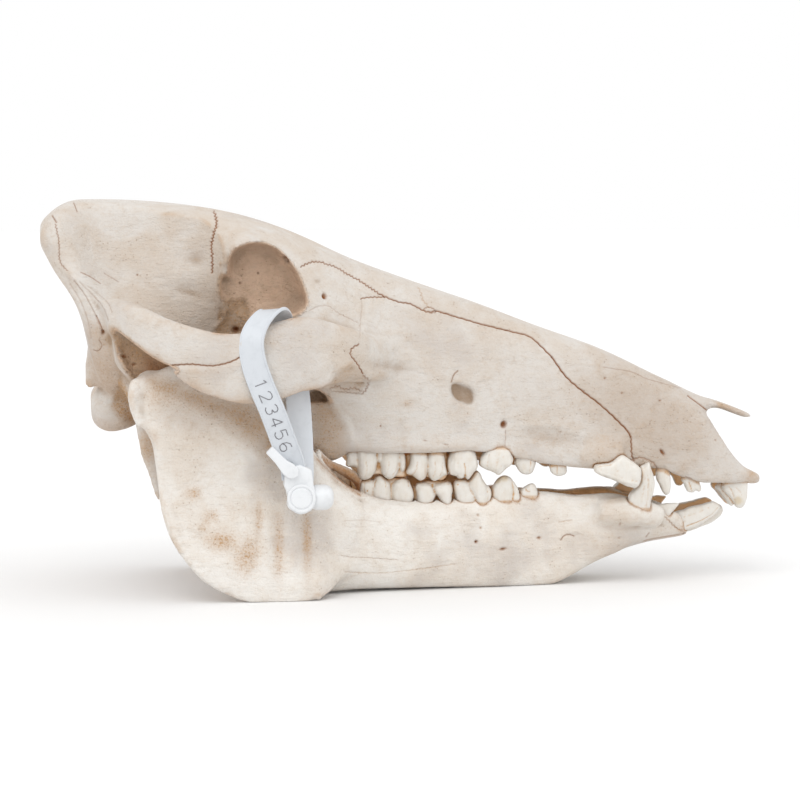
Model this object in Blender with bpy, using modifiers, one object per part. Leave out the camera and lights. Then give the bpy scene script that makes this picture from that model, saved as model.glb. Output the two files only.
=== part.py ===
"""Skull of a young bush pig, resting on its own lower jaw, with a plastic tag looped round one cheek arch.

The skull faces +X and stands on Z = 0, and its right side faces -Y. Sizes and places are in millimetres,
and MM turns them into Blender's metres. A section or station lists distances from the midline as positive
numbers, and SIDES turns them to the right and the left.
"""

import math

import bmesh
import bpy
from mathutils import Matrix, Vector

MM = 0.001
SIDES = {"right": -1, "left": 1}

# Finish of each kind of surface: colour, roughness
BONE = ((0.80, 0.73, 0.65), 0.6)
ENAMEL = ((0.85, 0.82, 0.75), 0.35)
PLASTIC = ((0.84, 0.87, 0.90), 0.4)

# Gap that touching pieces keep, and the depth of a tooth's root below the rim of its socket
GAP = 0.35
ROOT_DEPTH = 4.5

# Fineness of the bones: grain of the fused surface, rounds of smoothing, share of faces kept
BONE_GRAIN = 1.9
BONE_SMOOTHING = 6
CRANIUM_SHARE = 0.039
MANDIBLE_SHARE = 0.031

# Cranium: half sections from the roof's midline down the right side to the palate's midline
CRANIUM_SECTIONS = {
    -142.0: ((0, 144), (10, 144.5), (19, 144.3), (25, 143), (27.5, 140), (26, 137), (19, 136), (10, 136), (0, 136)),
    -136.0: ((0, 149.5), (11, 150), (21, 149), (29, 146), (32.5, 139), (32, 130), (28, 125), (14, 130), (0, 133)),
    -129.0: ((0, 152.6), (10, 153), (18, 151.5), (25, 147), (31, 138), (37, 126), (38, 115), (22, 119), (0, 125)),
    -121.0: ((0, 153.4), (9, 153), (17, 151), (22, 144), (29, 130), (41, 114), (41, 99), (26, 86), (0, 84)),
    -110.0: ((0, 153.2), (9, 152.8), (18, 150), (22, 140), (28, 123), (38, 108), (38, 92), (24, 78), (0, 74)),
    -95.0: ((0, 152.2), (10, 151.8), (20, 148.5), (24, 138), (29, 122), (31, 106), (27, 90), (17, 77), (0, 73)),
    -80.0: ((0, 150.4), (12, 150), (23, 146.5), (26, 136), (28, 121), (26, 105), (21, 90), (13, 76), (0, 72)),
    -68.0: ((0, 148.2), (14, 147.8), (28, 144.5), (38, 136), (33, 124), (24, 108), (19, 92), (13, 74), (0, 70)),
    -55.0: ((0, 144.7), (15, 144.2), (29, 141), (40, 132), (42, 118), (33, 104), (19, 90), (15, 70), (0, 62)),
    -40.0: ((0, 139.1), (15, 138.5), (29, 134), (40, 122), (46, 108), (42, 92), (28, 80), (25, 60), (0, 58)),
    -20.0: ((0, 129.9), (14, 129), (25, 124), (33, 112), (38, 98), (34, 82), (29, 68), (26, 55), (0, 58.5)),
    5.0: ((0, 120.6), (13, 119.5), (22, 114), (27, 103), (29, 88), (28.5, 74), (27.5, 62), (25.5, 54), (0, 58)),
    30.0: ((0, 112), (12, 110.7), (19, 105), (23.5, 95), (25.5, 82), (25.5, 68), (25, 60), (23.5, 54), (0, 57.5)),
    55.0: ((0, 102.5), (11, 101.2), (16.5, 96), (19.5, 87), (21.5, 76), (22, 64), (21.5, 56), (19.5, 48.5), (0, 53)),
    80.0: ((0, 93.5), (10, 92.2), (14.5, 87.5), (17.5, 79), (20, 69), (22, 59), (22, 51), (19, 46), (0, 50)),
    100.0: ((0, 84), (9, 82.8), (13, 78.5), (16, 71), (18, 62), (19, 54), (18.5, 49), (16.5, 46), (0, 48)),
    118.0: ((0, 75.5), (8, 74.5), (11.5, 71), (15, 65), (17, 57), (17.5, 49), (16.5, 43), (15, 40), (0, 43)),
    124.0: ((0, 68), (6, 68), (11, 67), (14.5, 62), (16, 55), (16.5, 48), (16, 42), (14.5, 39.5), (0, 42)),
    131.0: ((0, 55), (6, 55), (11, 54.5), (13.5, 52), (14.5, 48), (14.5, 44), (14, 41), (12.5, 39), (0, 41)),
    138.0: ((0, 46), (4, 46), (8, 46), (10.5, 45), (11.5, 43), (11.5, 41), (10.5, 39.5), (8, 38.5), (0, 39.5)),
    146.0: ((0, 41.9), (3, 41.9), (6, 41.7), (7.5, 41), (8, 40), (7.5, 38.9), (6, 38.3), (3, 38.1), (0, 38.1)),
}

# Roof of the nose, which runs out over the nostrils to a point: x, half width, top, bottom
NASAL_ROOF = (
    (96.0, 9.5, 85.5, 78.0),
    (110.0, 10.0, 79.2, 72.5),
    (122.0, 9.5, 73.4, 68.2),
    (131.0, 7.6, 70.0, 66.6),
    (139.0, 5.4, 67.6, 64.8),
    (146.0, 3.2, 65.8, 63.4),
)

# Cheek arch: x, distance from the midline, top, bottom, half thickness
CHEEK_ARCH = (
    (-2.0, 22.0, 100.0, 84.0, 5.0),
    (-14.0, 33.0, 101.0, 83.0, 6.5),
    (-28.0, 46.0, 106.0, 84.0, 6.5),
    (-42.0, 54.0, 107.6, 81.8, 5.5),
    (-55.0, 59.0, 105.3, 77.7, 4.8),
    (-66.0, 61.5, 103.7, 78.0, 4.4),
    (-76.0, 63.0, 104.4, 82.6, 4.2),
    (-86.0, 64.0, 106.8, 88.0, 4.2),
    (-95.0, 62.5, 109.5, 93.0, 4.6),
    (-103.0, 58.0, 113.0, 97.0, 5.0),
    (-110.0, 50.0, 116.0, 102.0, 5.5),
    (-116.0, 40.0, 117.0, 104.0, 5.0),
)

# Bar under the rear of the arch that carries the jaw joint: centre, half height, half width
JOINT_BAR = (
    ((-99.0, 60.0, 98.5), 5.5, 6.5),
    ((-99.0, 50.0, 98.5), 5.5, 8.0),
    ((-98.0, 38.0, 97.0), 6.5, 9.0),
    ((-96.0, 26.0, 95.0), 8.0, 9.0),
)

# Neck condyle, jugular process, ear capsule and the plates beside the throat: centre and two half widths
NECK_CONDYLE = (
    ((-104.0, 9.0, 78.0), 6.0, 6.0),
    ((-113.0, 11.5, 72.0), 8.5, 8.0),
    ((-119.0, 12.5, 69.5), 7.5, 7.0),
    ((-123.0, 13.0, 69.0), 4.0, 4.0),
)
JUGULAR_PROCESS = (
    ((-116.0, 31.0, 96.0), 5.0, 8.0),
    ((-111.0, 32.0, 82.0), 3.6, 6.5),
    ((-106.0, 31.0, 66.0), 2.6, 5.0),
    ((-101.0, 30.0, 52.0), 2.1, 3.6),
    ((-97.0, 29.5, 39.5), 1.6, 2.0),
)
EAR_CAPSULE = (
    ((-100.0, 20.0, 84.0), 6.0, 7.0),
    ((-95.0, 18.5, 72.0), 6.0, 7.5),
    ((-91.0, 17.5, 63.0), 4.0, 4.5),
)
THROAT_PLATE = (
    ((-60.0, 12.5, 76.0), 3.5, 13.0),
    ((-58.0, 13.5, 64.0), 2.6, 10.0),
    ((-58.0, 14.5, 54.0), 2.0, 5.0),
)
MOLAR_BULGE = (
    ((-41.0, 22.0, 62.0), 6.0, 4.0),
    ((-34.0, 21.0, 61.0), 7.5, 8.0),
    ((-24.0, 20.5, 60.0), 7.5, 6.0),
)
CANINE_SOCKET = (
    ((70.0, 19.5, 52.0), 4.0, 4.5),
    ((79.0, 21.0, 52.5), 5.0, 6.0),
    ((87.0, 21.5, 53.5), 4.5, 5.0),
)
BROW_SPUR = (
    ((-62.0, 33.0, 137.0), 5.0, 5.0),
    ((-65.0, 39.0, 132.0), 3.4, 3.8),
    ((-66.5, 41.0, 127.0), 2.0, 2.4),
)

# Hollows cut out of the cranium: centre and half sizes along X, Y and Z
EYE_SOCKET = ((-56.5, 47.0, 119.5), (17.0, 27.0, 18.5))
CHEEK_CANAL = ((27.0, 29.0, 77.5), (7.0, 5.5, 4.0))
SPINAL_OPENING = ((-118.0, 0.0, 82.0), (22.0, 9.5, 8.0))

# Nose passage: x, half width, top, bottom
NOSE_PASSAGE = (
    (60.0, 7.0, 88.0, 66.0),
    (80.0, 9.5, 84.0, 60.0),
    (100.0, 11.0, 77.0, 55.0),
    (118.0, 11.0, 70.0, 49.5),
    (130.0, 10.0, 65.5, 46.5),
    (148.0, 9.0, 64.5, 45.5),
)
# Throat passage under the palate's rear edge: x, half width, top, bottom
THROAT_PASSAGE = (
    (-82.0, 7.0, 68.0, 40.0),
    (-60.0, 9.5, 69.0, 40.0),
    (-40.0, 8.5, 70.0, 50.0),
    (-26.0, 7.0, 69.0, 62.0),
)

# Chin, where the halves of the lower jaw have grown together: x, half width, top, bottom
CHIN = (
    (113.5, 7.0, 25.6, 20.6),
    (108.0, 11.5, 28.8, 18.9),
    (100.0, 14.6, 31.2, 16.8),
    (92.0, 17.2, 33.2, 14.4),
    (85.0, 18.0, 35.4, 12.2),
    (77.0, 17.2, 35.4, 9.0),
    (68.0, 16.6, 34.0, 4.0),
    (60.0, 16.2, 31.0, 0.2),
    (52.0, 14.5, 24.0, -1.0),
    (45.0, 11.0, 15.0, 1.0),
)
# Trough along the top of the chin, behind the incisors: x, half width, top, bottom
TONGUE_TROUGH = (
    (104.0, 2.5, 40.0, 31.0),
    (96.0, 6.5, 41.0, 28.0),
    (84.0, 9.5, 42.0, 25.5),
    (70.0, 10.5, 42.0, 22.0),
    (58.0, 10.5, 42.0, 17.0),
    (44.0, 9.0, 42.0, 9.0),
)

# Body of each half of the lower jaw: x, inner and outer distance from the midline, bottom, top
JAW_BODY = (
    (92.0, 8.0, 17.0, 17.0, 33.0),
    (85.0, 8.0, 18.0, 13.0, 35.6),
    (77.0, 8.0, 17.6, 9.4, 35.8),
    (68.0, 8.0, 17.8, 4.0, 35.5),
    (60.0, 8.0, 18.6, 0.0, 35.5),
    (50.0, 8.5, 20.4, -0.9, 35.8),
    (36.0, 10.0, 23.5, -0.4, 34.9),
    (17.0, 10.5, 27.0, 0.2, 34.2),
    (-3.0, 11.0, 31.0, 0.5, 35.8),
    (-20.0, 12.5, 35.0, 0.8, 38.8),
    (-34.0, 19.0, 39.0, 0.8, 42.0),
    (-50.0, 31.0, 41.0, 4.0, 40.0),
)

# Upright plate of the lower jaw: x, bottom, top, then distance from the midline and half thickness at foot, waist, head
JAW_PLATE = (
    (-27.0, 8.0, 42.0, 37.0, 4.0, 36.0, 4.5, 35.0, 3.5),
    (-32.0, 2.5, 49.0, 43.0, 4.0, 39.0, 4.0, 37.0, 3.0),
    (-38.0, 0.2, 58.0, 46.5, 4.0, 41.5, 4.0, 38.5, 2.8),
    (-46.0, -1.5, 75.0, 47.0, 4.0, 43.0, 3.6, 39.0, 2.4),
    (-55.0, -1.5, 92.0, 47.5, 4.0, 44.0, 3.4, 40.0, 2.2),
    (-65.0, 0.3, 98.5, 48.5, 4.0, 45.0, 3.2, 41.0, 2.4),
    (-73.0, 3.6, 97.0, 49.5, 4.0, 45.5, 3.2, 42.5, 2.4),
    (-81.0, 8.8, 84.0, 50.5, 4.0, 46.0, 3.2, 44.5, 2.8),
    (-88.0, 17.0, 82.0, 51.0, 3.8, 46.5, 3.4, 46.5, 3.4),
    (-94.0, 28.0, 84.0, 50.5, 3.6, 47.0, 3.8, 48.5, 4.2),
    (-98.0, 44.0, 85.5, 49.5, 3.2, 48.0, 3.8, 49.5, 4.4),
    (-102.0, 60.0, 85.5, 49.0, 2.8, 48.5, 3.4, 50.0, 4.0),
    (-106.0, 71.0, 83.0, 49.0, 2.2, 49.5, 2.6, 50.0, 2.8),
)
JAW_CONDYLE = (
    ((-98.0, 39.0, 86.5), 3.0, 4.0),
    ((-99.0, 44.0, 86.4), 4.6, 6.0),
    ((-99.6, 51.0, 85.6), 5.0, 7.0),
    ((-100.0, 57.0, 84.4), 4.0, 5.6),
    ((-100.0, 60.5, 83.4), 2.2, 3.0),
)
LOWER_CANINE_SOCKET = (
    ((80.0, 17.0, 29.0), 4.0, 5.0),
    ((90.0, 18.0, 29.0), 5.0, 5.5),
    ((98.0, 17.0, 27.5), 4.0, 4.5),
)


# Cheek teeth: distance from the midline, half width, neck height, then the crown's edge as rows of x and z
CHEEK_TEETH = {
    "upper_molar_2": (
        18.6, 6.8, 55.4,
        ((-23.3, 50.5), (-19.6, 48.4), (-16.8, 43.5), (-11.3, 47.7), (-6.2, 43.9), (-3.0, 46.1), (-0.7, 48.4)),
    ),
    "upper_molar_1": (
        18.9, 6.4, 54.2,
        ((-0.2, 47.8), (2.5, 45.2), (5.3, 43.3), (8.6, 45.9), (11.8, 43.1), (14.0, 44.8), (15.5, 46.8)),
    ),
    "upper_premolar_4": (
        19.4, 5.8, 54.8,
        ((15.9, 48.4), (18.5, 45.2), (22.0, 44.4), (24.6, 44.4), (26.3, 46.4), (28.2, 49.4)),
    ),
    "upper_premolar_3": (
        19.9, 4.6, 54.8,
        ((28.7, 50.3), (31.0, 48.1), (33.8, 46.9), (36.7, 45.2), (39.5, 47.4), (42.1, 51.0)),
    ),
    "upper_premolar_2": (17.6, 3.0, 52.8, ((42.6, 50.5), (44.8, 46.9), (48.2, 45.1), (50.4, 46.0), (51.6, 49.2))),
    "upper_premolar_1": (17.0, 2.1, 48.8, ((56.8, 47.0), (58.3, 44.6), (60.5, 43.9), (62.8, 44.2), (64.0, 46.6))),
    "lower_molar_2": (
        18.0, 5.6, 36.2,
        ((-18.2, 40.8), (-14.5, 43.6), (-11.1, 45.3), (-6.0, 42.0), (-1.2, 44.6), (2.3, 41.8)),
    ),
    "lower_molar_1": (
        18.2, 5.2, 33.6,
        ((2.8, 41.6), (5.5, 42.2), (8.7, 43.6), (11.4, 41.7), (15.6, 43.8), (17.9, 42.4)),
    ),
    "lower_premolar_4": (
        18.7, 4.4, 34.4,
        ((18.4, 42.0), (21.0, 43.2), (24.6, 42.9), (28.1, 46.8), (30.6, 43.6), (33.6, 38.6)),
    ),
    "lower_premolar_3": (
        17.4, 3.4, 35.4,
        ((34.1, 39.6), (35.8, 42.5), (37.8, 44.2), (40.8, 44.2), (43.0, 42.0), (44.7, 39.2)),
    ),
    "lower_premolar_2": (15.8, 2.3, 37.0, ((45.3, 38.9), (47.7, 40.9), (50.0, 41.3), (52.2, 38.4))),
}

# Canines and incisors: rows of centre, half thickness and half breadth, from the root to the tip
FRONT_TEETH = {
    "upper_canine": (
        ((70.0, 19.6, 52.5), 2.0, 2.4),
        ((77.5, 21.3, 48.8), 2.8, 3.6),
        ((86.0, 23.8, 46.4), 3.0, 4.9),
        ((92.6, 26.2, 43.9), 2.4, 3.9),
    ),
    "upper_incisor_3": (
        ((101.4, 14.2, 49.5), 1.4, 1.6),
        ((103.0, 14.5, 44.0), 1.8, 2.2),
        ((104.4, 14.9, 40.0), 1.6, 2.2),
        ((105.6, 15.1, 36.0), 0.9, 1.1),
    ),
    "upper_incisor_2": (
        ((114.6, 11.6, 45.5), 1.4, 2.0),
        ((116.2, 12.0, 41.0), 1.8, 3.4),
        ((117.6, 12.3, 36.3), 1.3, 2.5),
    ),
    "upper_incisor_1": (
        ((131.0, 6.4, 45.0), 2.2, 2.6),
        ((134.6, 6.1, 39.5), 3.0, 4.9),
        ((136.2, 5.4, 34.0), 2.9, 4.5),
        ((136.4, 4.6, 29.3), 2.0, 2.9),
    ),
    "lower_canine": (
        ((90.6, 17.6, 25.5), 2.2, 2.6),
        ((93.6, 18.4, 31.5), 2.8, 3.5),
        ((96.3, 19.3, 39.5), 2.6, 3.3),
        ((96.8, 20.3, 47.3), 1.5, 2.2),
    ),
    "lower_incisor_3": (
        ((102.2, 12.6, 25.6), 1.2, 1.5),
        ((105.4, 12.9, 29.2), 1.6, 2.2),
        ((109.8, 12.8, 31.0), 0.7, 0.8),
    ),
    "lower_incisor_2": (
        ((104.5, 7.4, 21.8), 1.6, 1.9),
        ((110.5, 7.6, 23.3), 1.8, 2.7),
        ((115.5, 7.7, 24.8), 2.1, 3.9),
        ((122.5, 7.5, 27.3), 2.0, 3.3),
        ((128.2, 7.1, 29.2), 1.1, 1.5),
    ),
    "lower_incisor_1": (
        ((105.0, 2.8, 21.4), 1.6, 1.9),
        ((111.0, 2.8, 22.8), 1.8, 2.7),
        ((116.5, 2.8, 24.2), 2.2, 3.9),
        ((124.0, 2.8, 26.5), 2.1, 3.4),
        ((130.2, 2.7, 28.4), 1.2, 1.5),
    ),
}

# Strap of the tag round the right arch: centre and outward direction, from the lock round to the lock
STRAP_WIDTH = 9.8
STRAP_THICKNESS = 1.2
TAG_STRAP = (
    ((-46.4, -57.0, 48.0), (-0.3, -1.0, 0.15)),
    ((-47.2, -58.4, 54.0), (-0.2, -1.0, 0.15)),
    ((-50.3, -61.4, 62.0), (-0.1, -1.0, 0.2)),
    ((-55.2, -64.8, 75.0), (-0.1, -1.0, 0.15)),
    ((-59.4, -66.0, 85.0), (0.1, -1.0, 0.05)),
    ((-62.4, -66.4, 94.5), (0.15, -1.0, 0.1)),
    ((-62.9, -65.8, 103.5), (0.0, -1.0, 0.4)),
    ((-60.2, -62.8, 110.0), (-0.2, -0.6, 0.9)),
    ((-55.4, -57.4, 112.6), (0.0, 0.0, 1.0)),
    ((-51.6, -51.4, 109.8), (-0.1, 0.6, 0.8)),
    ((-50.2, -47.2, 103.6), (-0.3, 1.0, 0.4)),
    ((-48.2, -45.6, 95.0), (-0.45, 0.9, 0.1)),
    ((-45.0, -45.8, 84.0), (-0.4, 0.9, -0.1)),
    ((-42.0, -49.0, 66.0), (-0.1, 1.0, -0.25)),
    ((-41.8, -53.2, 52.5), (0.0, 1.0, -0.3)),
    ((-42.2, -54.8, 47.0), (0.0, 1.0, -0.3)),
)
LOCK_CENTRE = (-44.6, -56.4, 44.0)
LOCK_SIZE = (12.0, 8.0, 16.5)
BUTTON_CENTRE = (-44.9, -60.4, 41.1)
BUTTON_RADIUS = 4.7
BUTTON_HEIGHT = 2.4
CATCH_CENTRE = (-36.6, -54.4, 42.2)
CATCH_RADIUS = 4.4
CATCH_LENGTH = 8.5
TAIL_CENTRE = (-51.4, -59.4, 55.2)
TAIL_SIZE = (15.0, 2.4, 5.6)
TAIL_TURN = math.radians(42)


def curve_through(knots, values, at):
    """Value at one knot of the smooth curve that passes through every value."""
    last = len(knots) - 1
    at = min(max(at, knots[0]), knots[last])
    first = max(i for i in range(last) if knots[i] <= at)

    def slope(i):
        before, after = max(i - 1, 0), min(i + 1, last)
        return (values[after] - values[before]) / (knots[after] - knots[before])

    span = knots[first + 1] - knots[first]
    t = (at - knots[first]) / span
    start, end = values[first], values[first + 1]
    ease = t * t * (3 - 2 * t)
    rise = slope(first) * (t * (1 - t) ** 2) - slope(first + 1) * (t * t * (1 - t))
    return start * (1 - ease) + end * ease + rise * span


def resampled(stations, step):
    """Stations of plain numbers, led by x, filled in every step along a smooth curve through them."""
    rows = sorted(stations)
    knots = [row[0] for row in rows]
    count = max(2, round((knots[-1] - knots[0]) / step))
    places = [knots[0] + (knots[-1] - knots[0]) * i / count for i in range(count + 1)]
    columns = [[row[c] for row in rows] for c in range(1, len(rows[0]))]
    return [(x, *(curve_through(knots, column, x) for column in columns)) for x in places]


def rounded_ring(corners, per_side=3):
    """Closed ring of points on a smooth curve through the corners."""
    count = len(corners)
    ring = []
    for i in range(count):
        before, start, end, after = (corners[(i + k) % count] for k in (-1, 0, 1, 2))
        for j in range(per_side):
            t = j / per_side
            leave = (end - before) / 2
            arrive = (after - start) / 2
            ease = t * t * (3 - 2 * t)
            ring.append(
                start * (1 - ease) + end * ease + leave * (t * (1 - t) ** 2) - arrive * (t * t * (1 - t))
            )
    return ring


def loft(name, rings):
    """Closed mesh object whose skin joins the rings in order, with a flat cap at each end."""
    mesh = bpy.data.meshes.new(name)
    shape = bmesh.new()
    skin = [[shape.verts.new(point * MM) for point in ring] for ring in rings]
    count = len(rings[0])
    for near, far in zip(skin, skin[1:]):
        for i in range(count):
            j = (i + 1) % count
            shape.faces.new((near[i], near[j], far[j], far[i]))
    shape.faces.new(reversed(skin[0]))
    shape.faces.new(skin[-1])
    bmesh.ops.recalc_face_normals(shape, faces=shape.faces)
    shape.to_mesh(mesh)
    shape.free()
    made = bpy.data.objects.new(name, mesh)
    PARTS.objects.link(made)
    return made


def oval(centre, across, along, half_across, half_along, count=16, squareness=2.3):
    """Ring of points on a squarish oval, spanned by two directions."""
    ring = []
    for i in range(count):
        turn = 2 * math.pi * i / count
        c, s = math.cos(turn), math.sin(turn)
        reach = (abs(c) ** squareness + abs(s) ** squareness) ** (-1 / squareness)
        ring.append(centre + across * (half_across * reach * c) + along * (half_along * reach * s))
    return ring


def skull_body():
    """Cranium's own mass, from the nape crest to the tip of the snout."""
    knots = sorted(CRANIUM_SECTIONS)
    sections = [[Vector((0, y, z)) for y, z in CRANIUM_SECTIONS[x]] for x in knots]
    count = round((knots[-1] - knots[0]) / 2.5)
    rings = []
    for i in range(count + 1):
        x = knots[0] + (knots[-1] - knots[0]) * i / count
        half = [curve_through(knots, [s[k] for s in sections], x) for k in range(len(sections[0]))]
        left = [Vector((x, p.y, p.z)) for p in half]
        right = [Vector((x, -p.y, p.z)) for p in half[-2:0:-1]]
        rings.append(rounded_ring(left + right))
    return loft("skull_body", rings)


def flat_loft(name, stations, step=3.0):
    """Loft of upright ovals from rows of x, half width, top and bottom, centred on the midline."""
    rings = []
    for x, half_width, top, bottom in resampled(stations, step):
        centre = Vector((x, 0, (top + bottom) / 2))
        rings.append(oval(centre, Vector((0, 1, 0)), Vector((0, 0, 1)), half_width, (top - bottom) / 2))
    return loft(name, rings)


def arch_loft(side):
    """Cheek arch as a loft of upright ovals from the face back to the nape crest."""
    rings = []
    rows = resampled(CHEEK_ARCH, 2.5)
    for i, (x, y, top, bottom, half_thickness) in enumerate(rows):
        before, after = rows[max(i - 1, 0)], rows[min(i + 1, len(rows) - 1)]
        run = Vector((after[0] - before[0], after[1] - before[1], 0)).normalized()
        outward = Vector((-run.y, run.x, 0))
        outward = Vector((outward.x, outward.y * side, 0))
        centre = Vector((x, y * side, (top + bottom) / 2))
        rings.append(oval(centre, outward, Vector((0, 0, 1)), half_thickness, (top - bottom) / 2, 20, 2.8))
    return loft("arch", rings)


def limb(name, stations, side, flat_axis=Vector((0, 1, 0)), step=2.0, count_round=14):
    """Loft along a path of centres, with half widths along flat_axis and square to it and to the path."""
    centres = [Vector((c[0], c[1] * side, c[2])) for c, _, _ in stations]
    lengths = [0.0]
    for start, end in zip(centres, centres[1:]):
        lengths.append(lengths[-1] + (end - start).length)
    count = max(3, round(lengths[-1] / step))
    rings = []
    for i in range(count + 1):
        at = lengths[-1] * i / count
        centre = curve_through(lengths, centres, at)
        ahead = curve_through(lengths, centres, min(at + 0.5, lengths[-1]))
        behind = curve_through(lengths, centres, max(at - 0.5, 0))
        run = (ahead - behind).normalized()
        broad = run.cross(flat_axis).normalized()
        thin = broad.cross(run).normalized()
        half_thin = curve_through(lengths, [row[1] for row in stations], at)
        half_broad = curve_through(lengths, [row[2] for row in stations], at)
        rings.append(oval(centre, thin, broad, half_thin, half_broad, count_round, 2.1))
    return loft(name, rings)


def jaw_body_loft(side):
    """One half of the lower jaw's body, from the chin back under the upright plate."""
    rings = []
    for x, inner, outer, bottom, top in resampled(JAW_BODY, 3.0):
        centre = Vector((x, side * (inner + outer) / 2, (bottom + top) / 2))
        rings.append(
            oval(centre, Vector((0, 1, 0)), Vector((0, 0, 1)), (outer - inner) / 2, (top - bottom) / 2, 20, 2.9)
        )
    return loft("jaw_body", rings)


def jaw_plate_loft(side):
    """Upright plate behind the teeth, bowed outwards at its foot."""
    rings = []
    for row in resampled(JAW_PLATE, 2.5):
        x, bottom, top = row[:3]
        foot, foot_half, waist, waist_half, head, head_half = row[3:]
        outer, inner = [], []
        levels = 8
        for i in range(levels + 1):
            share = i / levels
            z = bottom + (top - bottom) * share
            middle = curve_through([0, 0.45, 1], [foot, waist, head], share)
            half = curve_through([0, 0.45, 1], [foot_half, waist_half, head_half], share)
            rounding = 0.55 if i in (0, levels) else 1.0
            outer.append(Vector((x, side * (middle + half * rounding), z)))
            inner.append(Vector((x, side * (middle - half * rounding), z)))
        rings.append(outer + inner[::-1])
    return loft("jaw_plate", rings)


def ball(name, centre, half_sizes, side=1):
    """Closed round mesh with its own half size along each axis."""
    bpy.ops.mesh.primitive_uv_sphere_add(segments=24, ring_count=14, radius=1)
    made = bpy.context.object
    made.name = name
    place = Vector((centre[0], centre[1] * side, centre[2])) * MM
    sizes = Matrix.Diagonal((*(Vector(half_sizes) * MM), 1))
    made.data.transform(Matrix.Translation(place) @ sizes)
    return adopted(made)


def applied(made):
    """Replaces an object's mesh by what its modifiers make of it."""
    graph = bpy.context.evaluated_depsgraph_get()
    mesh = bpy.data.meshes.new_from_object(made.evaluated_get(graph))
    old = made.data
    made.modifiers.clear()
    made.data = mesh
    bpy.data.meshes.remove(old)
    return made


def joined(name, pieces):
    """One object that holds the meshes of all the pieces."""
    shape = bmesh.new()
    for piece in pieces:
        shape.from_mesh(piece.data)
    mesh = bpy.data.meshes.new(name)
    shape.to_mesh(mesh)
    shape.free()
    for piece in pieces:
        bpy.data.objects.remove(piece)
    made = bpy.data.objects.new(name, mesh)
    PARTS.objects.link(made)
    return made


def fuse(made, grain):
    """Turns overlapping closed shapes into one even skin."""
    remesh = made.modifiers.new("fuse", "REMESH")
    remesh.mode = "VOXEL"
    remesh.voxel_size = grain * MM
    return applied(made)


def cut(made, cutters):
    """Cuts the cutters out of the object and hides them."""
    for cutter in cutters:
        PARTS.objects.unlink(cutter)
        CUTTERS.objects.link(cutter)
        cutter.hide_render = True
        cutter.display_type = "WIRE"
        boolean = made.modifiers.new("cut", "BOOLEAN")
        boolean.operation = "DIFFERENCE"
        boolean.object = cutter
    return applied(made)


def bone(name, pieces, hollows, share):
    """One fused, smoothed bone with few faces."""
    made = fuse(joined(name, pieces), BONE_GRAIN)
    if hollows:
        made = cut(made, hollows)
        made = fuse(made, BONE_GRAIN)
    smooth = made.modifiers.new("smooth", "SMOOTH")
    smooth.iterations = BONE_SMOOTHING
    smooth.factor = 0.5
    decimate = made.modifiers.new("few_faces", "DECIMATE")
    decimate.ratio = share
    return applied(made)


def material(name, finish):
    """Plain finish for one kind of surface."""
    colour, roughness = finish
    made = bpy.data.materials.new(name)
    made.use_nodes = True
    shader = made.node_tree.nodes["Principled BSDF"]
    shader.inputs["Base Color"].default_value = (*colour, 1)
    shader.inputs["Roughness"].default_value = roughness
    shader.inputs["Metallic"].default_value = 0
    return made


def cranium():
    """Upper skull: every bone above the lower jaw, grown together."""
    pieces = [skull_body(), flat_loft("nasal_roof", NASAL_ROOF)]
    hollows = [
        flat_loft("nose_passage", NOSE_PASSAGE),
        flat_loft("throat_passage", THROAT_PASSAGE),
        ball("spinal_opening", *SPINAL_OPENING),
    ]
    for side in SIDES.values():
        pieces += [
            arch_loft(side),
            limb("joint_bar", JOINT_BAR, side, Vector((0, 0, 1))),
            limb("neck_condyle", NECK_CONDYLE, side),
            limb("jugular_process", JUGULAR_PROCESS, side),
            limb("ear_capsule", EAR_CAPSULE, side),
            limb("throat_plate", THROAT_PLATE, side),
            limb("molar_bulge", MOLAR_BULGE, side),
            limb("canine_socket", CANINE_SOCKET, side),
            limb("brow_spur", BROW_SPUR, side),
        ]
        hollows += [
            ball("eye_socket", *EYE_SOCKET, side),
            ball("cheek_canal", *CHEEK_CANAL, side),
        ]
    return socketed(bone("cranium", pieces, hollows, CRANIUM_SHARE), "upper")


def cheek_tooth(name, side):
    """Tooth with a root, a swollen crown and a ridged edge."""
    middle, half_width, neck, edge = CHEEK_TEETH[name]
    start, end = edge[0][0], edge[-1][0]
    centre_x, half_length = (start + end) / 2, (end - start) / 2
    up = 1 if name.startswith("lower") else -1
    root = neck - up * ROOT_DEPTH
    levels = ((root, 0.70, None), (neck, 0.84, None), (neck, 1.0, 0.45), (neck, 0.86, 1.0))
    rings = []
    for base, share, climb in levels:
        outer, inner = [], []
        for x, z in edge:
            along = (x - centre_x) / half_length
            across = half_width * share * (1 - abs(along) ** 3 * 0.6)
            reach = half_length * (share if climb is None else 0.5 + share / 2)
            height = base if climb is None else neck + (z - neck) * climb
            outer.append(Vector((centre_x + along * reach, side * (middle + across), height)))
            inner.append(Vector((centre_x + along * reach, side * (middle - across), height)))
        rings.append(outer + inner[::-1])
    return sunk_face(loft(name, rings), name)


def cheek_socket(name, side):
    """Plain hollow that a cheek tooth stands in, clear of the tooth all round."""
    middle, half_width, neck, edge = CHEEK_TEETH[name]
    start, end = edge[0][0], edge[-1][0]
    centre_x, half_length = (start + end) / 2, (end - start) / 2
    up = 1 if name.startswith("lower") else -1
    levels = ((neck - up * (ROOT_DEPTH + GAP), 0.70), (neck, 0.86), (neck + up * 0.8, 1.0), (neck + up * 12, 1.0))
    rings = []
    for height, share in levels:
        outer, inner = [], []
        for along, width in ((-1, 0.42), (-0.6, 1.0), (0.6, 1.0), (1, 0.42)):
            x = centre_x + along * (half_length * share + GAP)
            across = half_width * share * width + GAP
            outer.append(Vector((x, side * (middle + across), height)))
            inner.append(Vector((x, side * (middle - across), height)))
        rings.append(outer + inner[::-1])
    return loft("socket", rings)


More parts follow.
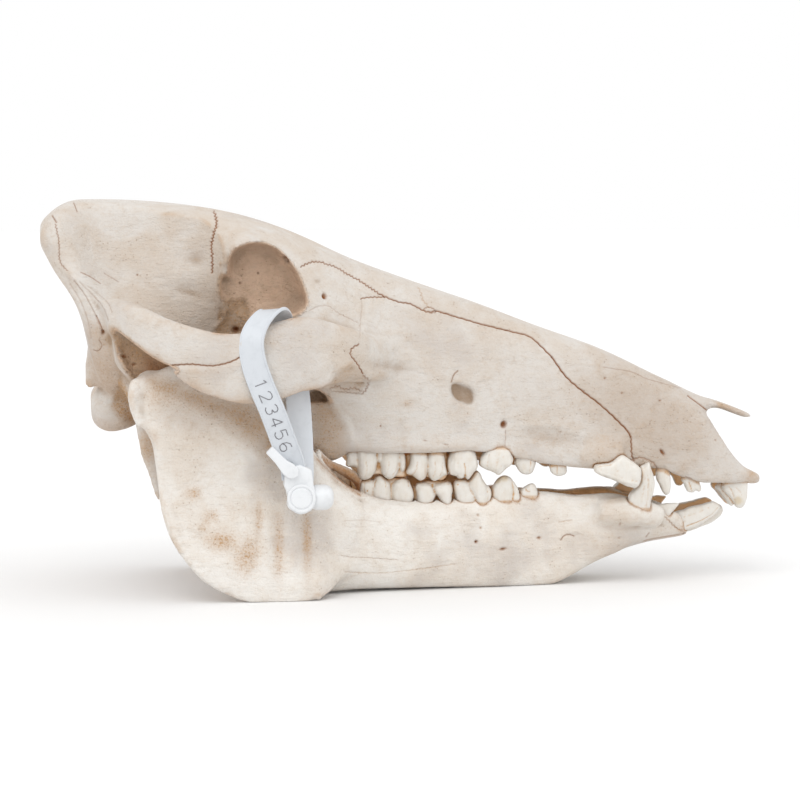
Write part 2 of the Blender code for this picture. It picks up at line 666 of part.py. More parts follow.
def sunk_face(made, name):
    """Pokes the chewing face of a cheek tooth down into a shallow valley."""
    up = 1 if name.startswith("lower") else -1
    edge = CHEEK_TEETH[name][3]
    deepest = min(z * up for _, z in edge) * up
    shape = bmesh.new()
    shape.from_mesh(made.data)
    shape.faces.ensure_lookup_table()
    face = max((f for f in shape.faces if len(f.verts) > 4), key=lambda f: f.calc_center_median().z * up)
    poked = bmesh.ops.poke(shape, faces=[face])
    poked["verts"][0].co.z = (deepest - up * 0.4) * MM
    shape.to_mesh(made.data)
    shape.free()
    return made


def front_tooth(name, side, spare=0.0):
    """Canine or incisor, swept from its root to its tip; spare makes it that much bigger all round."""
    rows = list(FRONT_TEETH[name])
    if spare:
        (root, thin, broad), (after, _, _) = rows[0], rows[1]
        away = (Vector(root) - Vector(after)).normalized() * spare
        rows[0] = (tuple(Vector(root) + away), thin, broad)
        rows = [(centre, thin + spare, broad + spare) for centre, thin, broad in rows]
    return limb(name, rows, side, step=6.0, count_round=8)


def teeth(jaw, side):
    """Every tooth of one side of one jaw, by its name."""
    made = {name: cheek_tooth(name, side) for name in CHEEK_TEETH if name.startswith(jaw)}
    made |= {name: front_tooth(name, side) for name in FRONT_TEETH if name.startswith(jaw)}
    return made


def socketed(made, jaw):
    """Cuts a socket for each tooth of a jaw, wider than the tooth by the gap."""
    sockets = []
    for side in SIDES.values():
        sockets += [cheek_socket(name, side) for name in CHEEK_TEETH if name.startswith(jaw)]
        sockets += [front_tooth(name, side, GAP) for name in FRONT_TEETH if name.startswith(jaw)]
    return cut(made, sockets)


def levelled(made):
    """Cuts off whatever lies under the floor, which leaves the flat patches that the jaw rests on."""
    return cut(made, [box("floor_cut", (0, 0, -10), (400, 200, 20))])


def box(name, centre, size, turn=0.0):
    """Block of the given full size, turned about the Y axis."""
    bpy.ops.mesh.primitive_cube_add(size=1)
    made = bpy.context.object
    made.name = name
    stretch = Matrix.Diagonal((*(Vector(size) * MM), 1))
    made.data.transform(Matrix.Translation(Vector(centre) * MM) @ Matrix.Rotation(turn, 4, "Y") @ stretch)
    return adopted(made)


def drum(name, centre, radius, length, axis):
    """Closed cylinder about its centre, along one axis."""
    bpy.ops.mesh.primitive_cylinder_add(vertices=20, radius=radius * MM, depth=length * MM)
    made = bpy.context.object
    made.name = name
    turn = Vector((0, 0, 1)).rotation_difference(Vector(axis)).to_matrix().to_4x4()
    made.data.transform(Matrix.Translation(Vector(centre) * MM) @ turn)
    return adopted(made)


def adopted(made):
    """Moves a new object from wherever Blender put it to the part's own collection."""
    for collection in made.users_collection:
        collection.objects.unlink(made)
    PARTS.objects.link(made)
    return made


def tag():
    """Plastic loop seal: a strap led up in front of the arch, over it and down behind it into a lock."""
    centres = [Vector(centre) for centre, _ in TAG_STRAP]
    facings = [Vector(facing).normalized() for _, facing in TAG_STRAP]
    knots = [0.0]
    for start, end in zip(centres, centres[1:]):
        knots.append(knots[-1] + (end - start).length)
    count = 28
    rings = []
    for i in range(count + 1):
        at = knots[-1] * i / count
        centre = curve_through(knots, centres, at)
        run = curve_through(knots, centres, min(at + 1, knots[-1])) - curve_through(knots, centres, max(at - 1, 0))
        run.normalize()
        across = run.cross(curve_through(knots, facings, at)).normalized()
        out = across.cross(run).normalized()
        wide, thick = across * STRAP_WIDTH / 2, out * STRAP_THICKNESS / 2
        rings.append([centre + wide + thick, centre - wide + thick, centre - wide - thick, centre + wide - thick])
    made = loft("tag", rings)
    lock = [
        box("lock_block", LOCK_CENTRE, LOCK_SIZE),
        drum("lock_button", BUTTON_CENTRE, BUTTON_RADIUS, BUTTON_HEIGHT, (0, -1, 0)),
        drum("lock_catch", CATCH_CENTRE, CATCH_RADIUS, CATCH_LENGTH, (1, 0, 0)),
        box("lock_tail", TAIL_CENTRE, TAIL_SIZE, TAIL_TURN),
    ]
    for piece in lock:
        union = made.modifiers.new("grow", "BOOLEAN")
        union.operation = "UNION"
        union.object = piece
    made = applied(made)
    for piece in lock:
        bpy.data.objects.remove(piece)
    return made


def mandible():
    """Lower jaw, both halves grown together at the chin."""
    pieces = [flat_loft("chin", CHIN)]
    trough = flat_loft("tongue_trough", TONGUE_TROUGH)
    for side in SIDES.values():
        pieces += [
            jaw_body_loft(side),
            jaw_plate_loft(side),
            limb("jaw_condyle", JAW_CONDYLE, side, Vector((0, 0, 1))),
            limb("lower_canine_socket", LOWER_CANINE_SOCKET, side),
        ]
    return socketed(levelled(bone("mandible", pieces, [trough], MANDIBLE_SHARE)), "lower")


for old in list(bpy.data.objects):
    bpy.data.objects.remove(old)
PARTS = bpy.data.collections.new("bush_pig_skull")
CUTTERS = bpy.data.collections.new("cutters")
bpy.context.scene.collection.children.link(PARTS)
bpy.context.scene.collection.children.link(CUTTERS)

bone_finish = material("bone", BONE)
enamel_finish = material("enamel", ENAMEL)
plastic_finish = material("plastic", PLASTIC)
for made_bone in (cranium(), mandible()):
    made_bone.data.materials.append(bone_finish)
for side_name, side_sign in SIDES.items():
    for jaw_name in ("upper", "lower"):
        for tooth_name, tooth in teeth(jaw_name, side_sign).items():
            tooth.name = f"{tooth_name}_{side_name}"
            tooth.data.materials.append(enamel_finish)
tag().data.materials.append(plastic_finish)
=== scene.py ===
"""Detailed skull of a young bush pig with a plastic tag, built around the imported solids.

Sizes and places in the tables are in millimetres, and a station's distance from the midline is a
positive number that Side turns to the right or the left. Marks on the bones are placed as the
photograph's camera sees them, in picture places of 800 by 800, on the near side, and are repeated
on the far side.
"""

import logging
import math
from dataclasses import dataclass
from enum import Enum
from typing import Any, Callable, Iterable, Sequence

import bmesh
import bpy
import numpy as np
from mathutils import Matrix, Vector, noise
from mathutils.bvhtree import BVHTree


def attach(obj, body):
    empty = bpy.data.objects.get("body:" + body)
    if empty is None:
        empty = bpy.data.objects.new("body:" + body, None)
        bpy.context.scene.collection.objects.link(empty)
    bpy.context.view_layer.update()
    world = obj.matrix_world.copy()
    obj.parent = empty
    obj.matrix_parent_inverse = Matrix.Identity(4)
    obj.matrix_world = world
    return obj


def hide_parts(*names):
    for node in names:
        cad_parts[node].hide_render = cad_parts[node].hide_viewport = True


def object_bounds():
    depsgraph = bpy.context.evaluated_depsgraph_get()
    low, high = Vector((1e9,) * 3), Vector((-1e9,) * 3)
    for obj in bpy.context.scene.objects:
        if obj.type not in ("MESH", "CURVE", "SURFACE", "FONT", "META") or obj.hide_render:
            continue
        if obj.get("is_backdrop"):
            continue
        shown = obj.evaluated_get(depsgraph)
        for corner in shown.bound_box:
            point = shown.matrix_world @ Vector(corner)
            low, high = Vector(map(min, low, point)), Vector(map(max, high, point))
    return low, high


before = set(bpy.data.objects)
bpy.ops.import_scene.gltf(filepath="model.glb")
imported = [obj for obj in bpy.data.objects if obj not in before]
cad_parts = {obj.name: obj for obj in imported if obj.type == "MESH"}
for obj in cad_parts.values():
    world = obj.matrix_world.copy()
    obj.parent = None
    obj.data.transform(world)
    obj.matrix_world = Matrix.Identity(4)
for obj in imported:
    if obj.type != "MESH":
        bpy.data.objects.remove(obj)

MM = 0.001
PICTURE = 800.0
MOST_TRIANGLES = 190000
GUM_WIDTH = 0.75
GUM_DEPTH = 0.5
SIDEWAYS = Vector((0, 1, 0))
UPWARDS = Vector((0, 0, 1))
Point = tuple[float, float, float]
Place = tuple[float, float]
Colour = tuple[float, float, float, float]
Rows = tuple[tuple[float, ...], ...]
Stations = tuple[tuple[Point, float, float], ...]

report = logging.getLogger("skull")


class Side(Enum):
    """Side of the animal, and the sign that its distances from the midline take."""

    RIGHT = -1
    LEFT = 1


class Slot(Enum):
    """Material slots of the record."""

    BONE = "bone"
    ENAMEL = "enamel"
    PLASTIC = "plastic"


# Smooth curves

def eased(start: Any, end: Any, leave: Any, arrive: Any, t: float, span: float = 1.0) -> Any:
    """Value at a share of the way along a smooth stretch of a curve.

    Args:
        start: value at its start.
        end: value at its end.
        leave: slope at its start.
        arrive: slope at its end.
        t: the share, from 0 to 1.
        span: length of the stretch.

    Returns:
        A number or vector, like the values.
    """
    ease = t * t * (3 - 2 * t)
    rise = leave * (t * (1 - t) ** 2) - arrive * (t * t * (1 - t))
    return start * (1 - ease) + end * ease + rise * span


def curve_through(knots: Sequence[float], values: Sequence[Any], at: float) -> Any:
    """Value at one knot of the smooth curve that passes through every value.

    Args:
        knots: rising places of the values.
        values: numbers or vectors.
        at: the place asked for, held between the first and last knot.

    Returns:
        A number or vector, like the values.
    """
    last = len(knots) - 1
    at = min(max(at, knots[0]), knots[last])
    first = max(i for i in range(last) if knots[i] <= at)

    def slope(i: int) -> Any:
        """Slope of the curve at one of its knots."""
        before, after = max(i - 1, 0), min(i + 1, last)
        return (values[after] - values[before]) / (knots[after] - knots[before])

    span = knots[first + 1] - knots[first]
    t = (at - knots[first]) / span
    return eased(values[first], values[first + 1], slope(first), slope(first + 1), t, span)


def resampled(stations: Iterable[Sequence[float]], step: float) -> list[tuple[float, ...]]:
    """Fills in rows of numbers, led by x, along smooth curves.

    Args:
        stations: the rows, in any order.
        step: distance between the new rows.

    Returns:
        The new rows in rising x.
    """
    rows = sorted(stations)
    knots = [row[0] for row in rows]
    count = max(2, round((knots[-1] - knots[0]) / step))
    places = [knots[0] + (knots[-1] - knots[0]) * i / count for i in range(count + 1)]
    columns = [[row[c] for row in rows] for c in range(1, len(rows[0]))]
    return [(x, *(curve_through(knots, column, x) for column in columns)) for x in places]


def rounded_ring(corners: Sequence[Vector], per_side: int) -> list[Vector]:
    """Closed ring of points on a smooth curve through the corners.

    Args:
        corners: the corners in order.
        per_side: points from one corner up to the next.

    Returns:
        The ring's points.
    """
    count = len(corners)
    ring = []
    for i in range(count):
        before, start, end, after = (corners[(i + k) % count] for k in (-1, 0, 1, 2))
        leave = (end - before) / 2
        arrive = (after - start) / 2
        ring += [eased(start, end, leave, arrive, j / per_side) for j in range(per_side)]
    return ring


def oval(
    centre: Vector, across: Vector, along: Vector, sizes: Place, count: int, squareness: float
) -> list[Vector]:
    """Ring of points on a squarish oval.

    Args:
        centre: middle of the oval.
        across: direction of the first half size.
        along: direction of the second half size.
        sizes: the two half sizes.
        count: number of points.
        squareness: 2 for an ellipse, more for squarer.

    Returns:
        The ring's points.
    """
    ring = []
    for i in range(count):
        turn = 2 * math.pi * i / count
        c, s = math.cos(turn), math.sin(turn)
        reach = (abs(c) ** squareness + abs(s) ** squareness) ** (-1 / squareness)
        ring.append(centre + across * (sizes[0] * reach * c) + along * (sizes[1] * reach * s))
    return ring


# Meshes

def only(piece: bpy.types.Object) -> None:
    """Makes a piece the only selected and the active object.

    Args:
        piece: the piece.
    """
    bpy.ops.object.select_all(action="DESELECT")
    piece.select_set(True)
    bpy.context.view_layer.objects.active = piece


def linked(name: str, data: Any) -> bpy.types.Object:
    """New object of the scene that holds a mesh, a lamp or a camera.

    Args:
        name: its name.
        data: the mesh, lamp or camera.

    Returns:
        The new object.
    """
    made = bpy.data.objects.new(name, data)
    bpy.context.scene.collection.objects.link(made)
    return made


def added(name: str, kind: str, **settings: Any) -> bpy.types.Object:
    """One of Blender's own meshes as a new object, with the settings that it takes.

    Args:
        name: its name.
        kind: middle of the operator's name, such as plane.
        **settings: the operator's settings.

    Returns:
        The new object.
    """
    bpy.ops.object.select_all(action="DESELECT")
    getattr(bpy.ops.mesh, f"primitive_{kind}_add")(**settings)
    made = bpy.context.object
    made.name = name
    return made


def loft(name: str, rings: Sequence[Sequence[Vector]]) -> bpy.types.Object:
    """Closed mesh whose skin joins the rings in order, with a cap at each end.

    Args:
        name: name of the new object.
        rings: rings of as many points each, in millimetres.

    Returns:
        The new object.
    """
    count = len(rings[0])
    points = [tuple(point * MM) for ring in rings for point in ring]
    faces: list[tuple[int, ...]] = []
    for r in range(len(rings) - 1):
        for i in range(count):
            j = (i + 1) % count
            faces.append((r * count + i, r * count + j, (r + 1) * count + j, (r + 1) * count + i))
    faces.append(tuple(reversed(range(count))))
    faces.append(tuple((len(rings) - 1) * count + i for i in range(count)))
    mesh = bpy.data.meshes.new(name)
    mesh.from_pydata(points, [], faces)
    made = linked(name, mesh)
    outward(made)
    return made


def outward(piece: bpy.types.Object) -> None:
    """Turns every face of a closed piece outwards.

    Args:
        piece: the piece.
    """
    shape = bmesh.new()
    shape.from_mesh(piece.data)
    bmesh.ops.remove_doubles(shape, verts=shape.verts, dist=1e-7)
    bmesh.ops.recalc_face_normals(shape, faces=shape.faces)
    shape.to_mesh(piece.data)
    shape.free()


def modified(piece: bpy.types.Object, kind: str, **settings: Any) -> bpy.types.Object:
    """Adds one modifier to a piece and applies it.

    Args:
        piece: the piece.
        kind: Blender's name of the modifier's type.
        **settings: the modifier's settings.

    Returns:
        The same piece.
    """
    only(piece)
    modifier = piece.modifiers.new(kind.lower(), kind)
    for key, value in settings.items():
        setattr(modifier, key, value)
    bpy.ops.object.modifier_apply(modifier=modifier.name)
    return piece


def joined(name: str, pieces: Sequence[bpy.types.Object]) -> bpy.types.Object:
    """One object that holds the meshes of all the pieces.

    Args:
        name: name of the whole.
        pieces: the pieces, which it uses up.

    Returns:
        The whole.
    """
    bpy.ops.object.select_all(action="DESELECT")
    for piece in pieces:
        piece.select_set(True)
    bpy.context.view_layer.objects.active = pieces[0]
    bpy.ops.object.join()
    pieces[0].name = name
    pieces[0].data.name = name
    return pieces[0]


def fused(piece: bpy.types.Object, grain: float) -> bpy.types.Object:
    """Turns overlapping closed shapes into one even skin with faces of the given size."""
    return modified(piece, "REMESH", mode="VOXEL", voxel_size=grain * MM)


def smoothed(piece: bpy.types.Object, rounds: int) -> bpy.types.Object:
    """Moves each vertex halfway to its neighbours' mean, for some rounds."""
    return modified(piece, "SMOOTH", iterations=rounds, factor=0.5)


def bevelled(piece: bpy.types.Object, width: float, segments: int, angle: float) -> bpy.types.Object:
    """Rounds the edges that are sharper than an angle in degrees."""
    limit = {"limit_method": "ANGLE", "angle_limit": math.radians(angle)}
    return modified(piece, "BEVEL", width=width * MM, segments=segments, **limit)


def carved(piece: bpy.types.Object, hollows: Iterable[bpy.types.Object]) -> bpy.types.Object:
    """Cuts hollows out of a piece and removes them."""
    for hollow in hollows:
        modified(piece, "BOOLEAN", operation="DIFFERENCE", solver="EXACT", object=hollow)
        bpy.data.objects.remove(hollow)
    return piece


def placed(piece: bpy.types.Object, place: Matrix) -> bpy.types.Object:
    """Moves a piece's mesh by a matrix in metres and leaves its object at the origin."""
    piece.data.transform(place)
    return piece


def ball(name: str, centre: Point, sizes: Point, side: int = 1) -> bpy.types.Object:
    """Closed round mesh with its own half size along each axis.

    Args:
        name: its name.
        centre: its middle in millimetres.
        sizes: its half sizes in millimetres.
        side: sign of the side.

    Returns:
        The new object.
    """
    made = added(name, "uv_sphere", segments=48, ring_count=28, radius=1)
    place = Matrix.Translation(Vector((centre[0], centre[1] * side, centre[2])) * MM)
    return placed(made, place @ Matrix.Diagonal((*(Vector(sizes) * MM), 1)))


def flat_loft(name: str, stations: Sequence[Sequence[float]], step: float = 2.0) -> bpy.types.Object:
    """Loft of upright ovals from rows of x, half width, top and bottom, centred on the midline.

    Args:
        name: its name.
        stations: the rows.
        step: distance between rings.

    Returns:
        The new object.
    """
    rings = []
    for x, half_width, top, bottom in resampled(stations, step):
        centre = Vector((x, 0, (top + bottom) / 2))
        sizes = (half_width, (top - bottom) / 2)
        rings.append(oval(centre, SIDEWAYS, UPWARDS, sizes, 32, 2.3))
    return loft(name, rings)


def limb(
    name: str,
    stations: Sequence[tuple[Point, float, float]],
    side: int,
    flat_axis: Point = (0, 1, 0),
    step: float = 1.2,
    count_round: int = 28,
    squareness: float = 2.1,
) -> bpy.types.Object:
    """Loft along a path.

    Args:
        name: name of the new object.
        stations: rows of centre, half size along flat_axis, and half size square to it.
        side: sign of the side.
        flat_axis: direction of the first half size.
        step: distance between rings.
        count_round: points in a ring.
        squareness: 2 for ellipses, more for squarer rings.

    Returns:
        The new object.
    """
    centres = [Vector((c[0], c[1] * side, c[2])) for c, _, _ in stations]
    lengths = [0.0]
    for start, end in zip(centres, centres[1:]):
        lengths.append(lengths[-1] + (end - start).length)
    count = max(3, round(lengths[-1] / step))
    rings = []
    for i in range(count + 1):
        at = lengths[-1] * i / count
        ahead = curve_through(lengths, centres, min(at + 0.5, lengths[-1]))
        behind = curve_through(lengths, centres, max(at - 0.5, 0))
        run = (ahead - behind).normalized()
        broad = run.cross(Vector(flat_axis)).normalized()
        thin = broad.cross(run).normalized()
        sizes = tuple(curve_through(lengths, [row[k] for row in stations], at) for k in (1, 2))
        centre = curve_through(lengths, centres, at)
        rings.append(oval(centre, thin, broad, sizes, count_round, squareness))
    return loft(name, rings)


# The photograph's camera

@dataclass(frozen=True)
class Viewpoint:
    """Camera of the photograph, round a point over the middle of the floor."""

    azimuth: float = -6.0
    elevation: float = 5.0
    distance: float = 1.2
    height: float = 0.073
    lens: float = 135.0
    film: float = 36.0

    def back(self) -> Vector:
        """Direction from the object to the camera."""
        a, e = math.radians(self.azimuth), math.radians(self.elevation)
        return Vector((math.sin(a) * math.cos(e), -math.cos(a) * math.cos(e), math.sin(e)))

    def eye(self) -> Vector:
        """Place of the camera."""
        return Vector((0, 0, self.height)) + self.back() * self.distance

    def places(self, points: np.ndarray) -> np.ndarray:
        """Where points are in the picture.

        Args:
            points: rows of x, y and z in metres.

        Returns:
            Rows of across and down, in parts of an 800 by 800 picture.
        """
        turn = self.back().to_track_quat("Z", "Y").to_matrix()
        seen = (points - np.array(self.eye())) @ np.array(turn)
        zoom = self.lens / self.film * PICTURE
        across = PICTURE / 2 - zoom * seen[:, 0] / seen[:, 2]
        down = PICTURE / 2 + zoom * seen[:, 1] / seen[:, 2]
        return np.stack([across, down], axis=1)

    def at_width(self, place: Sequence[float], width: float) -> Vector:
        """Point of the near side that is seen at a place.

        Args:
            place: across and down in the picture.
            width: distance of the point from the midline in millimetres.

        Returns:
            The point in millimetres.
        """
        zoom = self.lens / self.film * PICTURE
        turn = self.back().to_track_quat("Z", "Y")
        ray = turn @ Vector(((place[0] - PICTURE / 2) / zoom, (PICTURE / 2 - place[1]) / zoom, -1))
        eye = self.eye()
        return (eye + ray * ((-width * MM - eye.y) / ray.y)) / MM

    def build(self) -> None:
        """Makes the camera and hands the scene to it."""
        lens = bpy.data.cameras.new("viewpoint")
        lens.lens = self.lens
        lens.sensor_width = self.film
        lens.clip_start = 0.05
        lens.clip_end = 50
        camera = linked("viewpoint", lens)
        camera.rotation_mode = "QUATERNION"
        camera.location = self.eye()
        camera.rotation_quaternion = self.back().to_track_quat("Z", "Y")
        bpy.context.scene.camera = camera


# Shapes and marks drawn as the picture shows them

@dataclass(frozen=True)
class Puff:
    """Puffed closed shape that fills an outline in the picture, on either side.

    A place of the outline may have its own distance from the midline as a third number.
    """

    outline: Rows
    outer: float
    inner: float
    fullness: float = 3.0
    levels: int = 11

    def build(self, viewpoint: Viewpoint, side: Side) -> bpy.types.Object:
        """Models the shape.

        Args:
            viewpoint: the photograph's camera.
            side: side of the animal.

        Returns:
            The new object.
        """
        middle, half = (self.outer + self.inner) / 2, (self.outer - self.inner) / 2
        corners = [viewpoint.at_width(place[:2], (*place, middle)[2]) for place in self.outline]
        ring = rounded_ring(corners, 3)
        centre = sum(ring, Vector()) / len(ring)
        rings = []
        for k in range(self.levels):
            share = -math.cos(math.pi * (k + 0.35) / (self.levels - 0.3))
            size = (1 - abs(share) ** self.fullness) ** (1 / self.fullness)
            points = [centre + (point - centre) * size for point in ring]
            rings.append([Vector((p.x, side.value * (middle + half * share), p.z)) for p in points])
        return loft("puff", rings)


@dataclass(frozen=True)
class Bar:
    """Rounded bar along places of the picture, each with a distance from the midline and two half sizes."""

    stations: Rows
    squareness: float = 2.1
    far_drop: float = 0.0

    def build(self, viewpoint: Viewpoint, side: Side) -> bpy.types.Object:
        """Models the bar on one side.

        Args:
            viewpoint: the photograph's camera.
            side: side of the animal.

        Returns:
            The new object.
        """
        drop = self.far_drop if side is Side.LEFT else 0.0
        rows = []
        for u, v, width, across, high in self.stations:
            spot = viewpoint.at_width((u, v), width)
            rows.append(((spot.x, width, spot.z - drop), across, high))
        return limb("bar", rows, side.value, squareness=self.squareness)


@dataclass(frozen=True)
class Line:
    """Suture, crack, groove or ridge along a line of picture places, which may also lay stain and painted
    shade.
    """

    points: tuple[Place, ...]
    half_width: float = 0.9
    depth: float = 0.35
    dark: float = 0.8
    wander: float = 0.0
    step: float = 2.0
    reach: Place = (0.0, 90.0)
    stain: float = 0.0
    shade: float = 0.0
    fine: bool = True

    def path(self, seed: int) -> np.ndarray:
        """The line's points, filled in and wandering from side to side.

        Args:
            seed: start of the draws, so that each run gives the same line.

        Returns:
            Rows of across and down.
        """
        draw = np.random.RandomState(seed)
        knots = [0.0]
        points = [Vector(p) for p in self.points]
        for start, end in zip(points, points[1:]):
            knots.append(knots[-1] + (end - start).length)
        count = max(2, round(knots[-1] / self.step))
        rows = [curve_through(knots, points, knots[-1] * i / count) for i in range(count + 1)]
        path = np.array([tuple(row) for row in rows])
        if self.wander:
            run = np.gradient(path, axis=0)
            run /= np.linalg.norm(run, axis=1)[:, None] + 1e-9
            square = np.stack([-run[:, 1], run[:, 0]], axis=1)
            swing = np.where(np.arange(len(path)) % 2 == 0, 1.0, -1.0) * draw.uniform(0.25, 1.0, len(path))
            swing[[0, -1]] = 0
            path = path + square * (swing * self.wander)[:, None]
        return path


@dataclass(frozen=True)
class Patch:
    """Dent, bump, hole, stain or painted shade with an oval outline in the picture."""

    centre: Place
    radii: Place
    depth: float = 0.0
    turn: float = 0.0
    dark: float = 0.0
    stain: float = 0.0
    steep: float = 1.0
    reach: Place = (0.0, 90.0)
    shade: float = 0.0
    fine: bool = False


@dataclass(frozen=True)
class Field:
    """Region inside an outline of picture places that is sunk, raised, tinted or given painted shade."""

    points: tuple[Place, ...]
    edge: float = 3.0
    depth: float = 0.0
    shade: float = 0.0
    stain: float = 0.0
    dark: float = 0.0
    reach: Place = (0.0, 90.0)
    fine: bool = False


@dataclass(frozen=True)
class Seam:
    """Suture along the roof's midline between two x places, which the picture doesn't show."""

    start: float
    end: float
    wander: float
    step: float
    half_width: float = 0.3
    depth: float = 0.3
    dark: float = 0.75
    stain: float = 0.0
    shade: float = 0.0
    fine: bool = True

    def weigh(self, relief: "Relief") -> np.ndarray:
        """How much of the seam each vertex of a bone takes, from 0 to 1.

        Args:
            relief: the piece's vertices.

        Returns:
            One share per vertex.
        """
        along, across = relief.points[:, 0] / MM, relief.points[:, 1] / MM
        knots = np.arange(self.start, self.end, self.step)
        swing = np.random.RandomState(9).uniform(0.2, 1.0, len(knots))
        swing *= np.where(np.arange(len(knots)) % 2, 1, -1)
        gap = np.abs(across - np.interp(along, knots, swing * self.wander)) / self.half_width
        on = (along > self.start) & (along < self.end) & (relief.normals[:, 2] > 0.25)
        return np.exp(-(gap**2)) * on


Mark = Line | Patch | Field | Seam


def gap_to_path(places: np.ndarray, start: np.ndarray, end: np.ndarray) -> np.ndarray:
    """Distance of each place from the nearest of some straight stretches.

    Args:
        places: rows of across and down.
        start: first end of each stretch.
        end: second end of each stretch.

    Returns:
        One distance per place.
    """
    run = end - start
    lead = places[:, None, :] - start[None]
    share = np.einsum("nij,ij->ni", lead, run) / (np.einsum("ij,ij->i", run, run) + 1e-12)
    share = np.clip(share, 0, 1)
    return np.linalg.norm(lead - share[:, :, None] * run[None], axis=2).min(axis=1)


def rows_of(values: Any, name: str) -> np.ndarray:
    """Points or directions of a mesh as rows of x, y and z.

    Args:
        values: the mesh's vertices or normals.
        name: the property that is read.

    Returns:
        One row per vertex.
    """
    flat = np.zeros(len(values) * 3, np.float32)
    values.foreach_get(name, flat)
    return flat.reshape(-1, 3).astype(float)


class Relief:
    """A piece's vertices as arrays, which marks are pressed and drawn into."""

    # Channels: brown lines, which also paint shade in holes; stains; painted shade.
    CHANNELS = ("line", "stain", "shade")
    GRAZING = 0.03
    FADE = 0.2

    def __init__(self, piece: bpy.types.Object, viewpoint: Viewpoint) -> None:
        """Reads the piece's mesh.

        Args:
            piece: the piece.
            viewpoint: the photograph's camera.
        """
        self.piece = piece
        self.viewpoint = viewpoint
        self.read()

    def read(self) -> None:
        """Takes coordinates, normals and picture places from the mesh."""
        mesh = self.piece.data
        count = len(mesh.vertices)
        self.points = rows_of(mesh.vertices, "co")
        self.normals = rows_of(mesh.vertex_normals, "vector")
        near = np.array([1.0, -1.0, 1.0])
        far = self.points[:, 1] > 0
        mirrored = self.points.copy()
        mirrored[far] *= near
        turned = self.normals.copy()
        turned[far] *= near
        self.places = self.viewpoint.places(mirrored)
        ray = np.array(self.viewpoint.eye()) - mirrored
        ray /= np.linalg.norm(ray, axis=1)[:, None]
        self.facing = np.einsum("ij,ij->i", ray, turned)
        self.far = far
        self.width = np.abs(self.points[:, 1]) / MM
        self.push = np.zeros(count)
        self.channels = {name: np.zeros(count) for name in self.CHANNELS}

    def gate(self, mark: Mark, side: Side) -> np.ndarray:
        """Which vertices a mark may touch, from 0 to 1.

        Args:
            mark: the mark.
            side: side of the animal.

        Returns:
            One share per vertex.
        """
        on_side = self.far == (side is Side.LEFT)
        return np.clip((self.facing - self.GRAZING) / self.FADE, 0, 1) * (on_side & self.within(mark))

    def within(self, mark: Mark) -> np.ndarray:
        """Which vertices lie as far from the midline as a mark may reach."""
        low, high = mark.reach
        return (self.width >= low) & (self.width <= high)

    def near(self, points: np.ndarray, spare: float, gate: np.ndarray) -> np.ndarray:
        """Numbers of the vertices that a mark may touch and that lie close to some places."""
        inside = np.all((self.places > points.min(0) - spare) & (self.places < points.max(0) + spare), axis=1)
        return np.nonzero(inside & (gate > 0))[0]

    def lay(self, mark: Mark, rows: np.ndarray, weight: np.ndarray) -> None:
        """Adds a mark's depth, tints and painted shade to some vertices.

        Args:
            mark: the mark.
            rows: numbers of the vertices.
            weight: how much of the mark each of them takes.
        """
        self.push[rows] -= weight * mark.depth
        for name, amount in (("line", mark.dark), ("stain", mark.stain), ("shade", mark.shade)):
            if amount:
                self.channels[name][rows] = np.maximum(self.channels[name][rows], weight * amount)

    def draw(self, line: Line, side: Side, seed: int) -> None:
        """Draws one line on one side.

        Args:
            line: the line.
            side: side of the animal.
            seed: start of its draws.
        """
        path = line.path(seed + (side is Side.LEFT) * 77)
        gate = self.gate(line, side)
        rows = self.near(path, line.half_width * 2 + 1, gate)
        if len(rows):
            gap = gap_to_path(self.places[rows], path[:-1], path[1:])
            self.lay(line, rows, np.exp(-((gap / line.half_width) ** 2)) * gate[rows])

    def fill(self, field: Field, side: Side) -> None:
        """Fills one field on one side.

        Args:
            field: the field.
            side: side of the animal.
        """
        outline = np.array(field.points)
        gate = self.gate(field, side)
        rows = self.near(outline, field.edge, gate)
        if not len(rows):
            return
        following = np.roll(outline, -1, axis=0)
        gap = gap_to_path(self.places[rows], outline, following)
        x, y = self.places[rows][:, :1], self.places[rows][:, 1:]
        (x0, y0), (x1, y1) = outline.T, following.T
        crossed = ((y0 > y) != (y1 > y)) & (x < x0 + (y - y0) * (x1 - x0) / (y1 - y0 + 1e-9))
        gap = np.where(crossed.sum(axis=1) % 2 == 1, gap, -gap)
        share = np.clip(0.5 + gap / field.edge / 2, 0, 1)
        self.lay(field, rows, share * share * (3 - 2 * share) * gate[rows])

    def press(self, patch: Patch, side: Side) -> None:
        """Presses one patch on one side.

        Args:
            patch: the patch.
            side: side of the animal.
        """
        turn = math.radians(patch.turn)
        c, s = math.cos(turn), math.sin(turn)
        gate = self.gate(patch, side)
        rows = self.near(np.array([patch.centre]), 2.6 * max(patch.radii), gate)
        lead = self.places[rows] - np.array(patch.centre)
        across = (lead[:, 0] * c + lead[:, 1] * s) / patch.radii[0]
        down = (-lead[:, 0] * s + lead[:, 1] * c) / patch.radii[1]
        gap = np.sqrt(across**2 + down**2)
        self.lay(patch, rows, np.exp(-(gap ** (2 * patch.steep))) * gate[rows])

    def mark(self, marks: Sequence[Mark]) -> None:
        """Makes every mark on both sides, with fresh sums."""
        for number, mark in enumerate(marks):
            if isinstance(mark, Seam):
                self.lay(mark, np.arange(len(self.points)), mark.weigh(self))
                continue
            for side in Side:
                if isinstance(mark, Line):
                    self.draw(mark, side, number * 13 + 5)
                elif isinstance(mark, Field):
                    self.fill(mark, side)
                else:
                    self.press(mark, side)

    def settle(self) -> None:
        """Moves the vertices along their normals as the marks say, and writes them back."""
        self.points += self.normals * (self.push * MM)[:, None]
        self.piece.data.vertices.foreach_set("co", self.points.astype(np.float32).ravel())
        self.piece.data.update()

